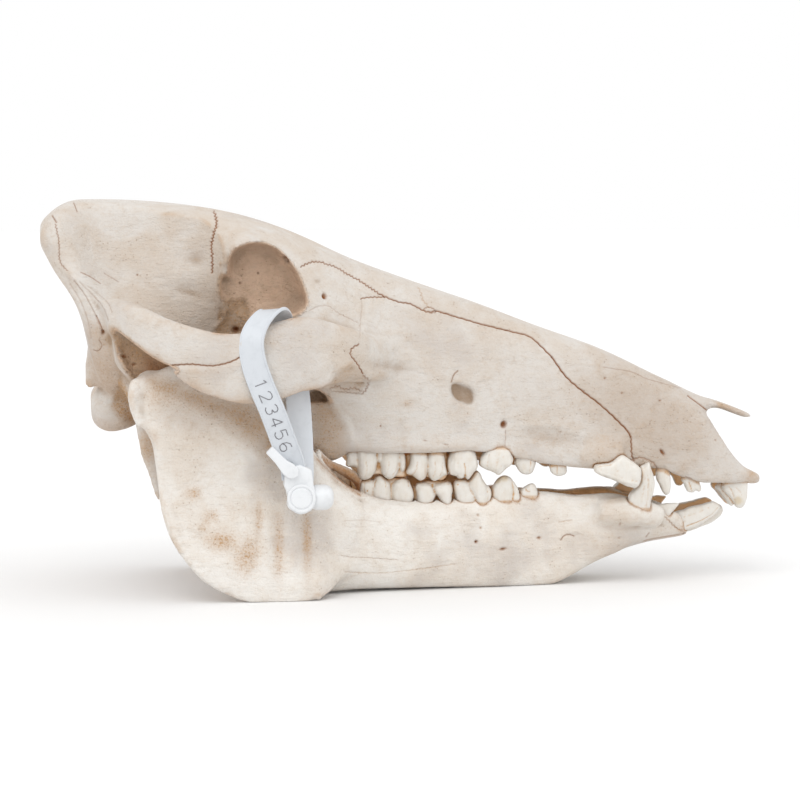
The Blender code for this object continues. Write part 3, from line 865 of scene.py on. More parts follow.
    def keep(self, name: str, values: np.ndarray) -> None:
        """Stores one number per vertex under a name that the finishes read.

        Args:
            name: the name.
            values: the numbers, which it holds between 0 and 1.
        """
        mesh = self.piece.data
        attribute = mesh.attributes.get(name) or mesh.attributes.new(name, "FLOAT", "POINT")
        attribute.data.foreach_set("value", np.clip(values, 0, 1).astype(np.float32))


def near_marks(relief: Relief, marks: Sequence[Mark], spare: float) -> np.ndarray:
    """Which vertices lie close to a fine mark.

    Args:
        relief: the bone.
        marks: the marks.
        spare: how far beyond a mark's edge still counts, in picture parts.

    Returns:
        One truth value per vertex.
    """
    found = np.zeros(len(relief.points), bool)
    seen = relief.facing > 0
    for mark in marks:
        if not mark.fine:
            continue
        if isinstance(mark, Seam):
            along = relief.points[:, 0] / MM
            on_roof = (relief.normals[:, 2] > 0.2) & (relief.width < 1.4)
            found |= (along > mark.start) & (along < mark.end) & on_roof
            continue
        open_to = seen & relief.within(mark)
        if isinstance(mark, Patch):
            gap = np.linalg.norm(relief.places - np.array(mark.centre), axis=1) - max(mark.radii)
            found |= open_to & (gap < spare)
            continue
        path = Line(mark.points, step=2.0).path(0)
        rows = np.nonzero(open_to & ~found)[0]
        inside = np.all(
            (relief.places[rows] > path.min(0) - spare) & (relief.places[rows] < path.max(0) + spare), axis=1
        )
        rows = rows[inside]
        if not len(rows):
            continue
        gap = np.linalg.norm(relief.places[rows][:, None, :] - path[None], axis=2).min(axis=1)
        found[rows[gap < spare + mark.half_width + mark.wander]] = True
    return found


def refined(piece: bpy.types.Object, chosen: np.ndarray) -> None:
    """Splits every face whose corners are all chosen into four.

    Args:
        piece: the piece.
        chosen: one truth value per vertex.
    """
    shape = bmesh.new()
    shape.from_mesh(piece.data)
    shape.verts.ensure_lookup_table()
    edges = set()
    for face in shape.faces:
        if all(chosen[corner.index] for corner in face.verts):
            edges.update(face.edges)
    bmesh.ops.subdivide_edges(shape, edges=list(edges), cuts=1, use_grid_fill=True)
    shape.to_mesh(piece.data)
    shape.free()


class Web:
    """Edges of a mesh as arrays, for means over neighbours."""

    def __init__(self, mesh: bpy.types.Mesh) -> None:
        """Reads the mesh's edges.

        Args:
            mesh: the mesh.
        """
        pairs = np.zeros(len(mesh.edges) * 2, np.int64)
        mesh.edges.foreach_get("vertices", pairs)
        pairs = pairs.reshape(-1, 2)
        self.count = len(mesh.vertices)
        self.source = np.concatenate([pairs[:, 0], pairs[:, 1]])
        self.target = np.concatenate([pairs[:, 1], pairs[:, 0]])
        self.degree = np.maximum(np.bincount(self.target, minlength=self.count), 1)

    def mean(self, values: np.ndarray) -> np.ndarray:
        """Mean of each vertex's neighbours.

        Args:
            values: one number or row per vertex.

        Returns:
            The means, laid out like the values.
        """
        columns = values.reshape(self.count, -1)
        sums = [
            np.bincount(self.target, weights=columns[self.source, c], minlength=self.count) / self.degree
            for c in range(columns.shape[1])
        ]
        return np.stack(sums, axis=1).reshape(values.shape)

    def softened(self, values: np.ndarray, rounds: int) -> np.ndarray:
        """Values after rounds of halfway moves towards the neighbours' mean."""
        for _ in range(rounds):
            values = 0.5 * values + 0.5 * self.mean(values)
        return values


def depths(relief: Relief, rounds: int) -> np.ndarray:
    """How far each vertex lies under the softened surface, in millimetres; ridges are negative.

    Args:
        relief: the piece's vertices.
        rounds: rounds of softening.

    Returns:
        One depth per vertex.
    """
    web = Web(relief.piece.data)
    soft = web.softened(relief.points, rounds)
    return np.einsum("ij,ij->i", soft - relief.points, relief.normals) / MM


@dataclass(frozen=True)
class Hollowness:
    """Reads how hollow a surface is; a negative sign reads how sharp its ridges are."""

    rounds: int
    start: float
    span: float
    sign: int = 1

    def of(self, relief: Relief) -> np.ndarray:
        """Share from 0 to 1 of each vertex, which grows from the start's depth over the span's."""
        return np.clip((self.sign * depths(relief, self.rounds) - self.start) / self.span, 0, 1)


# Shader maths

class Value:
    """A number that varies over a surface; plain arithmetic on it adds Math nodes."""

    def __init__(self, recipe: "Recipe", socket: bpy.types.NodeSocket) -> None:
        """Wraps one output socket."""
        self.recipe = recipe
        self.socket = socket

    def joined(self, operation: str, *values: Any, clamp: bool = False) -> "Value":
        """One Math node on the given values, in order.

        Args:
            operation: the node's operation.
            *values: values or numbers.
            clamp: whether the result is held between 0 and 1.

        Returns:
            The result.
        """
        settings = {"operation": operation, "use_clamp": clamp}
        node = self.recipe.node("ShaderNodeMath", settings, dict(enumerate(values)))
        return Value(self.recipe, node.outputs[0])

    def __add__(self, other: Any) -> "Value":
        """Sum."""
        return self.joined("ADD", self, other)

    __radd__ = __add__

    def __sub__(self, other: Any) -> "Value":
        """Difference."""
        return self.joined("SUBTRACT", self, other)

    def __rsub__(self, other: Any) -> "Value":
        """Difference from a plain number."""
        return self.joined("SUBTRACT", other, self)

    def __mul__(self, other: Any) -> "Value":
        """Product."""
        return self.joined("MULTIPLY", self, other)

    __rmul__ = __mul__

    def __pow__(self, other: Any) -> "Value":
        """Power."""
        return self.joined("POWER", self, other)

    def held(self) -> "Value":
        """The same value, held between 0 and 1."""
        return self.joined("ADD", self, 0.0, clamp=True)

    def step(self, low: float, high: float) -> "Value":
        """Smooth step from 0 at low to 1 at high.

        Args:
            low: where the step begins.
            high: where it ends.

        Returns:
            The step.
        """
        settings = {"interpolation_type": "SMOOTHSTEP"}
        inputs = {"Value": self, "From Min": low, "From Max": high}
        return Value(self.recipe, self.recipe.node("ShaderNodeMapRange", settings, inputs).outputs[0])


class Recipe:
    """Node tree of one material."""

    def __init__(self, name: str) -> None:
        """Starts a material that holds only its shader.

        Args:
            name: the material's name.
        """
        self.material = bpy.data.materials.new(name)
        self.material.use_nodes = True
        self.tree = self.material.node_tree
        self.shader = self.tree.nodes["Principled BSDF"]

    def node(self, kind: str, settings: dict[str, Any], inputs: dict[Any, Any]) -> bpy.types.Node:
        """Adds one node.

        Args:
            kind: the node's type.
            settings: its settings, set first.
            inputs: values or links of its sockets, by name or number.

        Returns:
            The node.
        """
        made = self.tree.nodes.new(kind)
        for key, value in settings.items():
            setattr(made, key, value)
        for key, value in inputs.items():
            self.feed(made.inputs[key], value)
        return made

    def feed(self, socket: bpy.types.NodeSocket, value: Any) -> None:
        """Links a value to a socket, or sets it there."""
        if isinstance(value, Value):
            self.tree.links.new(value.socket, socket)
        elif isinstance(value, bpy.types.NodeSocket):
            self.tree.links.new(value, socket)
        else:
            socket.default_value = value

    def grid(self, stretch: Point = (1, 1, 1)) -> bpy.types.NodeSocket:
        """Object coordinates, stretched along the axes.

        Args:
            stretch: scale along each axis.

        Returns:
            Socket of the coordinates.
        """
        source = self.node("ShaderNodeTexCoord", {}, {}).outputs["Object"]
        settings = {"vector_type": "POINT"}
        return self.node("ShaderNodeMapping", settings, {"Vector": source, "Scale": stretch}).outputs[0]

    def noise(
        self,
        scale: float,
        detail: float = 2.0,
        rough: float = 0.5,
        stretch: Point = (1, 1, 1),
        warp: float = 0.0,
    ) -> Value:
        """Cloudy noise from 0 to 1.

        Args:
            scale: cells in a metre.
            detail: how many finer layers it has.
            rough: strength of the finer layers.
            stretch: scale along each axis.
            warp: how far it is distorted.

        Returns:
            The noise.
        """
        inputs = {
            "Vector": self.grid(stretch),
            "Scale": scale,
            "Detail": detail,
            "Roughness": rough,
            "Distortion": warp,
        }
        return Value(self, self.node("ShaderNodeTexNoise", {}, inputs).outputs[0])

    def cells(self, scale: float, stretch: Point = (1, 1, 1)) -> Value:
        """Distance from the nearest of many scattered points."""
        inputs = {"Vector": self.grid(stretch), "Scale": scale}
        return Value(self, self.node("ShaderNodeTexVoronoi", {}, inputs).outputs[0])

    def attribute(self, name: str) -> Value:
        """A number stored on the vertices."""
        return Value(self, self.node("ShaderNodeAttribute", {"attribute_name": name}, {}).outputs["Fac"])

    def mixed(self, factor: Any, first: Any, second: Any) -> bpy.types.NodeSocket:
        """Colour between two colours."""
        made = self.node("ShaderNodeMix", {"data_type": "RGBA"}, {0: factor, 6: first, 7: second})
        return made.outputs[2]

    def attributes(self, *names: str) -> list[Value]:
        """Numbers stored on the vertices."""
        return [self.attribute(name) for name in names]

    def finished(
        self, tone: Any, rough: Any, shine: float = 0.5, layers: Sequence[tuple[Value, float]] = ()
    ) -> bpy.types.Material:
        """Feeds the shader.

        Args:
            tone: its colour.
            rough: its roughness.
            shine: its specular level.
            layers: heights of its bumps, each with its full height in millimetres.

        Returns:
            The material.
        """
        self.feed(self.shader.inputs["Base Color"], tone)
        self.feed(self.shader.inputs["Roughness"], rough)
        self.feed(self.shader.inputs["Specular IOR Level"], shine)
        normal = None
        for height, reach in layers:
            inputs = {"Height": height, "Distance": reach * MM, "Strength": 1.0}
            if normal is not None:
                inputs["Normal"] = normal
            normal = self.node("ShaderNodeBump", {}, inputs).outputs[0]
        if normal is not None:
            self.feed(self.shader.inputs["Normal"], normal)
        return self.material


def colour(red: float, green: float, blue: float) -> Colour:
    """Colour as Blender wants it, from the 0 to 255 numbers of a picture.

    Args:
        red: red part.
        green: green part.
        blue: blue part.

    Returns:
        Linear red, green and blue, and an alpha of 1.
    """
    parts = [c / 255 for c in (red, green, blue)]
    light = [c / 12.92 if c <= 0.04045 else ((c + 0.055) / 1.055) ** 2.4 for c in parts]
    return (light[0], light[1], light[2], 1.0)


@dataclass(frozen=True)
class BoneFinish:
    """Bleached bone with faint stains, pores and brown sutures, with painted shade in its hollows, creases
    and insides and a painted glow along thin edges.
    """

    name: str
    grain: Point = (1, 1, 1)
    # deep: brown of insides and undersides, partly the bone's own staining and partly painted shade
    deep: Colour = colour(219, 190, 165)
    light: Colour = colour(210, 205, 199)
    warm: Colour = colour(202, 191, 179)
    cool: Colour = colour(196, 188, 181)
    # tan: stains, and the painted glow along thin edges
    tan: Colour = colour(180, 144, 106)
    pore: Colour = colour(160, 128, 98)
    # shade: colour of painted shade, also mixed with dust in hollows
    shade: Colour = colour(162, 142, 123)
    # brown: sutures and joints, and painted shade in holes and troughs
    brown: Colour = colour(138, 84, 40)

    def build(self) -> bpy.types.Material:
        """Makes the material.

        Returns:
            The material.
        """
        r = Recipe(self.name)
        line, stain, shade, crease = r.attributes("line", "stain", "shade", "crease")
        hollow, inner, edge = r.attributes("hollow", "inner", "edge")
        broad = r.noise(22, 3, 0.55, warp=0.4)
        blotch = r.noise(75, 4, 0.6, warp=0.5)
        cloud = r.noise(260, 4, 0.65)
        grit = r.noise(1100, 3, 0.7)
        fibre = r.noise(520, 5, 0.66, self.grain)
        crack = r.noise(240, 4, 0.62, self.grain, warp=0.3) - 0.5
        vein = (1 - crack * crack * 2600).held() * cloud.step(0.42, 0.6)
        pores = r.cells(620)
        specks = r.noise(1350, 3, 0.62)
        tone = r.mixed((broad * 0.6 + blotch * 0.6).step(0.48, 0.78), self.light, self.warm)
        tone = r.mixed(r.noise(34, 3, 0.55).step(0.5, 0.7) * 0.75, tone, self.cool)
        tone = r.mixed((cloud.step(0.48, 0.78) * 0.5 + fibre.step(0.5, 0.74) * 0.6).held(), tone, self.warm)
        # Insides, inward faces and undersides turn brown, partly the bone's own staining and partly painted
        # shade.
        tone = r.mixed((inner * (0.72 + cloud * 0.4)).held(), tone, self.deep)
        # Painted shade in hollows, creases and wherever the marks lay shade, mixed with dust.
        dust_and_shade = (hollow * 0.5 + crease * 0.7 + shade) * (0.5 + blotch * 0.55 + cloud * 0.35)
        tone = r.mixed(dust_and_shade.held(), tone, self.shade)
        freckle = (specks + blotch * 0.35).step(0.62, 0.9) * (0.12 + stain * 0.75)
        wash = stain * (0.26 + blotch * 0.66) + vein * 0.1
        tone = r.mixed((freckle + wash).held(), tone, self.tan)
        # Tan along sharp ridges: a painted glow of light through thin bone edges.
        tone = r.mixed((edge * blotch.step(0.4, 0.7) * 0.5).held(), tone, self.tan)
        pit = 1 - pores.step(0.05, 0.25)
        sparse = (blotch * 0.5 + cloud * 0.5 + stain * 0.2 + (shade + inner) * 0.1).step(0.5, 0.6)
        tone = r.mixed((pit * sparse * 0.45).held(), tone, self.pore)
        # Streaky painted shade inside the hollows and on inward faces.
        streaks = cloud.step(0.46, 0.66) * 0.2 + fibre.step(0.5, 0.7) * 0.25
        tone = r.mixed((inner * streaks).held(), tone, self.shade)
        # Brown sutures and joints; the same line channel also paints shade in holes, troughs and recesses.
        tone = r.mixed((line * (0.7 + grit * 0.6)).held(), tone, self.brown)
        layers = (
            (blotch, 0.9), (cloud, 0.3), (fibre, 0.6), (grit, 0.24),
            (inner * cloud, 0.9), (inner * grit, 0.3), (1 - vein, 0.05), (1 - pit * sparse, 0.16),
        )
        return r.finished(tone, 0.55 + blotch * 0.16 + grit * 0.1, 0.3, layers)


@dataclass(frozen=True)
class EnamelFinish:
    """Young white enamel with brown necks and furrows, and painted shade in creases, between teeth and on
    inward faces.
    """

    name: str
    light: Colour = colour(218, 214, 207)
    warm: Colour = colour(211, 203, 191)
    brown: Colour = colour(176, 112, 56)
    tan: Colour = colour(190, 148, 100)
    worn: Colour = colour(190, 168, 128)
    # deep: orange-brown of painted shade on inward faces
    deep: Colour = colour(236, 190, 138)

    def build(self) -> bpy.types.Material:
        """Makes the material.

        Returns:
            The material.
        """
        r = Recipe(self.name)
        neck, crease, contact = r.attributes("neck", "crease", "contact")
        line, tip, inner = r.attributes("line", "tip", "inner")
        cloud = r.noise(160, 3, 0.6)
        streak = r.noise(700, 3, 0.6, (1, 1, 0.2))
        crack = r.noise(420, 3, 0.55, warp=0.3) - 0.5
        vein = (1 - crack * crack * 1500).held() * (neck * 0.6 + crease + contact * 0.5 + 0.12).held()
        grit = r.noise(1600, 2, 0.5)
        tone = r.mixed((cloud * 0.6 + streak * 0.5).step(0.45, 0.8), self.light, self.warm)
        # Inward faces and the cores behind the lobes turn orange-brown: painted shade.
        tone = r.mixed((inner * (0.7 + cloud * 0.5)).held(), tone, self.deep)
        # Tan from dirt at the necks and in cracks, and painted shade in creases, furrows and between teeth.
        soil_and_shade = (neck * 0.6 + crease + contact * 0.9 + line * 0.8 + vein * 0.4) * (0.5 + cloud)
        tone = r.mixed(soil_and_shade.held(), tone, self.tan)
        # Brown from dirt at the necks, and painted shade in creases and between teeth.
        grime_and_shade = (neck * 0.7 + crease * 0.35 + contact * 0.9 + line * 0.6).step(0.65, 1.15)
        grime_and_shade = grime_and_shade * (0.55 + cloud * 0.7)
        tone = r.mixed(grime_and_shade.held(), tone, self.brown)
        tone = r.mixed((tip * (0.3 + cloud * 0.6)).held(), tone, self.worn)
        rough = 0.26 + cloud * 0.14 + neck * 0.25
        return r.finished(tone, rough, layers=((streak, 0.12), (grit, 0.03)))


@dataclass(frozen=True)
class PlasticFinish:
    """Cool white moulded plastic, slightly cloudy."""

    name: str
    base: Colour = colour(203, 207, 212)
    cloudy: Colour = colour(195, 199, 204)
    rough: float = 0.34

    def build(self) -> bpy.types.Material:
        """Makes the material.

        Returns:
            The material.
        """
        r = Recipe(self.name)
        cloud = r.noise(260, 3, 0.55)
        grit = r.noise(1500, 2, 0.5)
        tone = r.mixed(cloud.step(0.45, 0.8), self.base, self.cloudy)
        return r.finished(tone, self.rough + cloud * 0.12, layers=((cloud, 0.06), (grit, 0.02)))


@dataclass(frozen=True)
class InkFinish:
    """Thin grey printing ink on the strap."""

    name: str
    full: Colour = colour(112, 112, 116)
    worn: Colour = colour(150, 150, 154)

    def build(self) -> bpy.types.Material:
        """Makes the material.

        Returns:
            The material.
        """
        r = Recipe(self.name)
        wear = r.noise(1800, 2, 0.6)
        return r.finished(r.mixed(wear.step(0.4, 0.7), self.full, self.worn), 0.5 + wear * 0.1)


def dressed(piece: bpy.types.Object, finish: bpy.types.Material, slot: Slot, nodes: Sequence[str]) -> None:
    """Gives a finished piece its material, its body and the nodes that it stands for.

    Args:
        piece: the piece.
        finish: its material.
        slot: the record's slot of that finish; not used.
        nodes: names of the CAD nodes that it replaces.
    """
    piece.data.materials.clear()
    piece.data.materials.append(finish)
    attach(piece, "root")
    if nodes:
        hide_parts(*nodes)
    piece.data.calc_loop_triangles()
    report.info("%s: %d triangles", piece.name, len(piece.data.loop_triangles))


def smooth_shaded(piece: bpy.types.Object, angle: float | None = None) -> None:
    """Shades a piece smooth, or smooth up to an angle in degrees."""
    only(piece)
    if angle is None:
        bpy.ops.object.shade_smooth()
    else:
        bpy.ops.object.shade_smooth_by_angle(angle=math.radians(angle))


# Cranium

# Half sections by x: height of the roof's midline, width and height down the side, height of the palate
CRANIUM_SECTIONS = {
    -142.0: (144, (10, 144.5), (19, 144.3), (25, 143), (27.5, 140), (26, 137), (19, 136), (10, 136), 136),
    -136.0: (149.5, (11, 150), (21, 149), (29, 146), (32.5, 139), (32, 130), (28, 125), (14, 130), 133),
    -129.0: (152.6, (10, 153), (18, 151.5), (25, 147), (31, 138), (37, 126), (38, 115), (22, 119), 125),
    -121.0: (153.4, (9, 153), (17, 151), (22, 144), (29, 130), (41, 114), (41, 99), (26, 86), 84),
    -110.0: (153.2, (9, 152.8), (18, 150), (22, 140), (28, 123), (38, 108), (38, 92), (24, 78), 74),
    -95.0: (152.2, (10, 151.8), (20, 148.5), (24, 138), (29, 122), (31, 106), (27, 90), (17, 77), 73),
    -80.0: (150.4, (12, 150), (23, 146.5), (26, 136), (28, 121), (26, 105), (21, 90), (13, 76), 72),
    -68.0: (148.2, (14, 147.8), (28, 144.5), (38, 136), (33, 124), (24, 108), (19, 92), (13, 74), 70),
    -55.0: (144.7, (15, 144.2), (29, 141), (40, 132), (42, 118), (33, 104), (19, 90), (15, 70), 62),
    -40.0: (139.1, (15, 138.5), (29, 134), (40, 122), (46, 108), (42, 92), (28, 80), (25, 60), 58),
    -20.0: (129.9, (14, 129), (25, 124), (33, 112), (38, 98), (34, 82), (29, 68), (26, 55), 58.5),
    5.0: (120.6, (13, 119.5), (22, 114), (27, 103), (29, 88), (28.5, 74), (27.5, 62), (25.5, 54), 58),
    30.0: (112, (12, 110.7), (19, 105), (23.5, 95), (25.5, 82), (25.5, 68), (25, 60), (23.5, 54), 57.5),
    55.0: (102.5, (11, 101.2), (16.5, 96), (19.5, 87), (21.5, 76), (22, 64), (21.5, 56), (19.5, 48.5), 53),
    80.0: (93.5, (10, 92.2), (14.5, 87.5), (17.5, 79), (20, 69), (22, 59), (22, 51), (19, 46), 50),
    100.0: (84, (9, 82.8), (13, 78.5), (16, 71), (18, 62), (19, 54), (18.5, 49), (16.5, 46), 48),
    118.0: (74.4, (8, 73.6), (11.5, 70.6), (15, 65), (17, 57), (17.5, 49), (16.5, 43), (15, 40), 43),
    124.0: (65.5, (6, 65.5), (11, 64.8), (14.5, 60.5), (16, 54.5), (16.5, 48), (16, 42), (14.5, 39.5), 42),
    131.0: (55, (6, 55), (11, 54.5), (13.5, 52), (14.5, 48), (14.5, 44), (14, 41), (12.5, 39), 41),
    138.0: (46, (4, 46), (8, 46), (10.5, 45), (11.5, 43), (11.5, 41), (10.5, 39.5), (8, 38.5), 39.5),
    146.0: (41.9, (3, 41.9), (6, 41.7), (7.5, 41), (8, 40), (7.5, 38.9), (6, 38.3), (3, 38.1), 38.1),
}

# Hollows, added bars, broad forms and fine marks of the cranium, as the photograph shows them
CRANIUM_HOLLOWS = (
    Puff((
        (227, 274.5, 33), (228.5, 265, 34), (231, 256, 36), (236, 249, 37), (245, 245, 38), (256, 243, 38),
        (267, 244.6, 38), (276, 248.4, 38), (283.6, 254.5, 39), (289.7, 261.4, 40), (295.8, 269.9, 42),
        (300.4, 279, 44), (304.3, 290, 46), (307.8, 300.5, 48), (306.6, 307, 50), (303, 312.5, 53),
        (297, 316, 55), (288, 318, 57), (270, 320.5, 58), (255, 326, 59), (240, 331, 60), (214, 332, 60),
        (215.5, 325, 45), (221, 320.5, 38), (224.5, 317, 34), (223, 308, 31), (219.5, 301, 30),
        (218.4, 291, 31), (219.1, 279, 32), (222.5, 275, 32),
    ), 80, 24, 6.0, 15),
    Puff((
        (113, 331), (124, 337), (139, 348), (153, 357.5), (166, 364), (175.5, 366.5), (177, 371),
        (166, 374), (150, 379), (138, 388), (131, 378), (121, 364), (114, 350),
    ), 76, 46, 6.0),
    Puff((
        (451.8, 383), (451.3, 391), (455, 399), (463, 403.5), (470.6, 405.5), (474.5, 403), (475, 396.5),
        (472.5, 389.5), (465, 386), (457, 383.5),
    ), 30, 23.2, 4.0),
    Puff((
        (306, 386), (315, 388.6), (323, 393.5), (330.5, 400), (331, 403), (318, 402.6), (306, 403),
    ), 38, 23, 6.0),
)
CRANIUM_BARS = (
    Bar((
        (600, 460, 19, 1.6, 2.2), (622, 452, 18, 2.0, 3.0), (640, 454.6, 17, 2.0, 2.2),
        (655, 463.6, 16, 1.6, 1.6),
    )),
)
CRANIUM_SWELLINGS = (
    Puff((
        (312, 392), (330, 400), (345, 425), (352, 445), (347, 453), (340, 458), (331, 461.5), (322, 460.5),
        (313, 455), (306, 445), (304, 420),
    ), 27, 14),
)
# Shade in these forms is painted shade: in dents and hollows, under bumps, ridges and the nasal tip, on the
# snout, on downward facets of the cheek, in the recess behind the cheek arch and in the eye socket's floor.
# In the recess the stain and dark that go with it are painted shade as well.
CRANIUM_FORMS = (
    Patch((195, 259), (9, 7), 0.6, shade=0.15),
    Patch((188, 292), (16, 5), 0.6, turn=15, shade=0.2),
    Patch((185, 275), (13, 10), -0.9),
    Patch((150, 250), (60, 26), 0.8, reach=(0, 60)),
    Patch((208, 300), (24, 32), 0.0, shade=0.4, reach=(0, 50)),
    Patch((388, 367), (26, 6), 0.8, turn=8, shade=0.3),
    Patch((410, 316), (24, 8), 0.6, turn=20, shade=0.15),
    Patch((508, 362), (24, 14), 0.7, turn=30, shade=0.12),
    Patch((551, 439), (28, 9), 1.2, turn=10, shade=0.1, stain=0.14),
    Patch((440, 425), (40, 14), 0.3),
    Patch((318, 281), (4, 3), 0.5, shade=0.2),
    # Darker, warmer snout: painted shade.
    Patch((645, 418), (82, 46), 0.0, turn=30, stain=0.08, shade=0.6, steep=1.4),
    Patch((455.5, 393), (3.4, 7), 0.0, -12, shade=0.5, reach=(20, 40)),
    Patch((560, 400), (60, 40), 0.0, turn=35, shade=0.2),
    Patch((470, 350), (70, 40), 0.0, turn=30, shade=0.1),
    Patch((738, 412), (18, 6), 0.0, turn=20, stain=0.35, shade=0.25),
    Patch((750, 478), (10, 9), -0.4, shade=0.2, stain=0.3),
    # Downward facet of the cheek: painted shade.
    Field((
        (334, 371), (352, 364.5), (364, 372), (366, 384), (358, 393), (340, 393), (331, 387),
    ), 4, 1.0, 0.35, 0.25),
    # Painted shadow under the cheek's ridge.
    Field(((314, 393), (330, 398), (345, 430), (346, 456), (332, 464), (312, 462)), 8, 0.0, 0.5, 0.45),
    # Recess behind the cheek arch: painted shade, darkest to the right.
    Field((
        (110, 333), (140, 345), (176, 360), (178, 374), (136, 390), (126, 372),
    ), 5, 0.0, 0.7, 0.7, reach=(0, 60)),
    Field((
        (146, 356), (164, 364), (178, 366), (178, 374), (158, 378), (142, 384),
    ), 7, 0.0, 1.0, 0.8, 0.5, (0, 60)),
    Field(((88, 320), (112, 330), (132, 382), (122, 400), (88, 384)), 10, 0.3, 0.3, 0.3),
    Field((
        (119, 377), (126, 386), (131, 398), (133, 412), (137, 424), (127, 421), (117, 415), (111.5, 406),
        (115, 394),
    ), 4, 0.5, 0.1, 0.95, 0.0, (0, 40)),
    Patch((131, 417), (6, 8), 0.3, -30, 0.2, 0.95, reach=(0, 40), shade=0.2),
    Patch((147, 445), (9, 24), 0.0, stain=0.5, reach=(18, 40)),
    Field((
        (70, 210), (130, 212), (185, 222), (210, 232), (214, 262), (212, 300), (180, 318), (130, 300),
        (100, 285), (68, 262), (60, 235),
    ), 8, 0.4, 0.1, reach=(0, 52)),
    # Floor of the eye socket: painted shade.
    Field((
        (222, 300), (246, 298), (252, 322), (244, 335), (214, 336), (217, 322),
    ), 4, 0.6, 0.6, 0.7, reach=(0, 50)),
    Line((
        (221, 262), (221, 272), (218.5, 285), (220, 301), (224, 310), (223.5, 318), (216, 326),
    ), 2.0, -0.8, 0.0, reach=(0, 50), fine=False),
    Line((
        (66, 270), (80, 283), (95, 297), (108, 312), (113, 333), (122, 362), (136, 384),
    ), 3.2, -1.0, 0.0, fine=False),
    Line(((70, 282), (82, 298), (90, 320), (93, 345)), 3.0, 0.5, 0.0, shade=0.15, fine=False),
    Line(((84, 285), (96, 303), (104, 322), (104, 334)), 3.0, 0.45, 0.0, shade=0.2, fine=False),
    Line((
        (78, 204), (132, 208), (157, 213), (185, 217), (208, 224), (221, 240), (226, 262),
    ), 3.0, -0.6, 0.0, fine=False),
    Line(((352, 364), (340, 371), (327, 381), (308, 391)), 3.0, -0.9, 0.0, fine=False),
    Line(((174, 370), (190, 371), (212, 372), (240, 364)), 4.0, -0.6, 0.0, reach=(40, 90), fine=False),
    Line(((330, 398), (338, 412), (348, 424), (352, 440)), 4.0, -0.6, 0.0, fine=False),
)
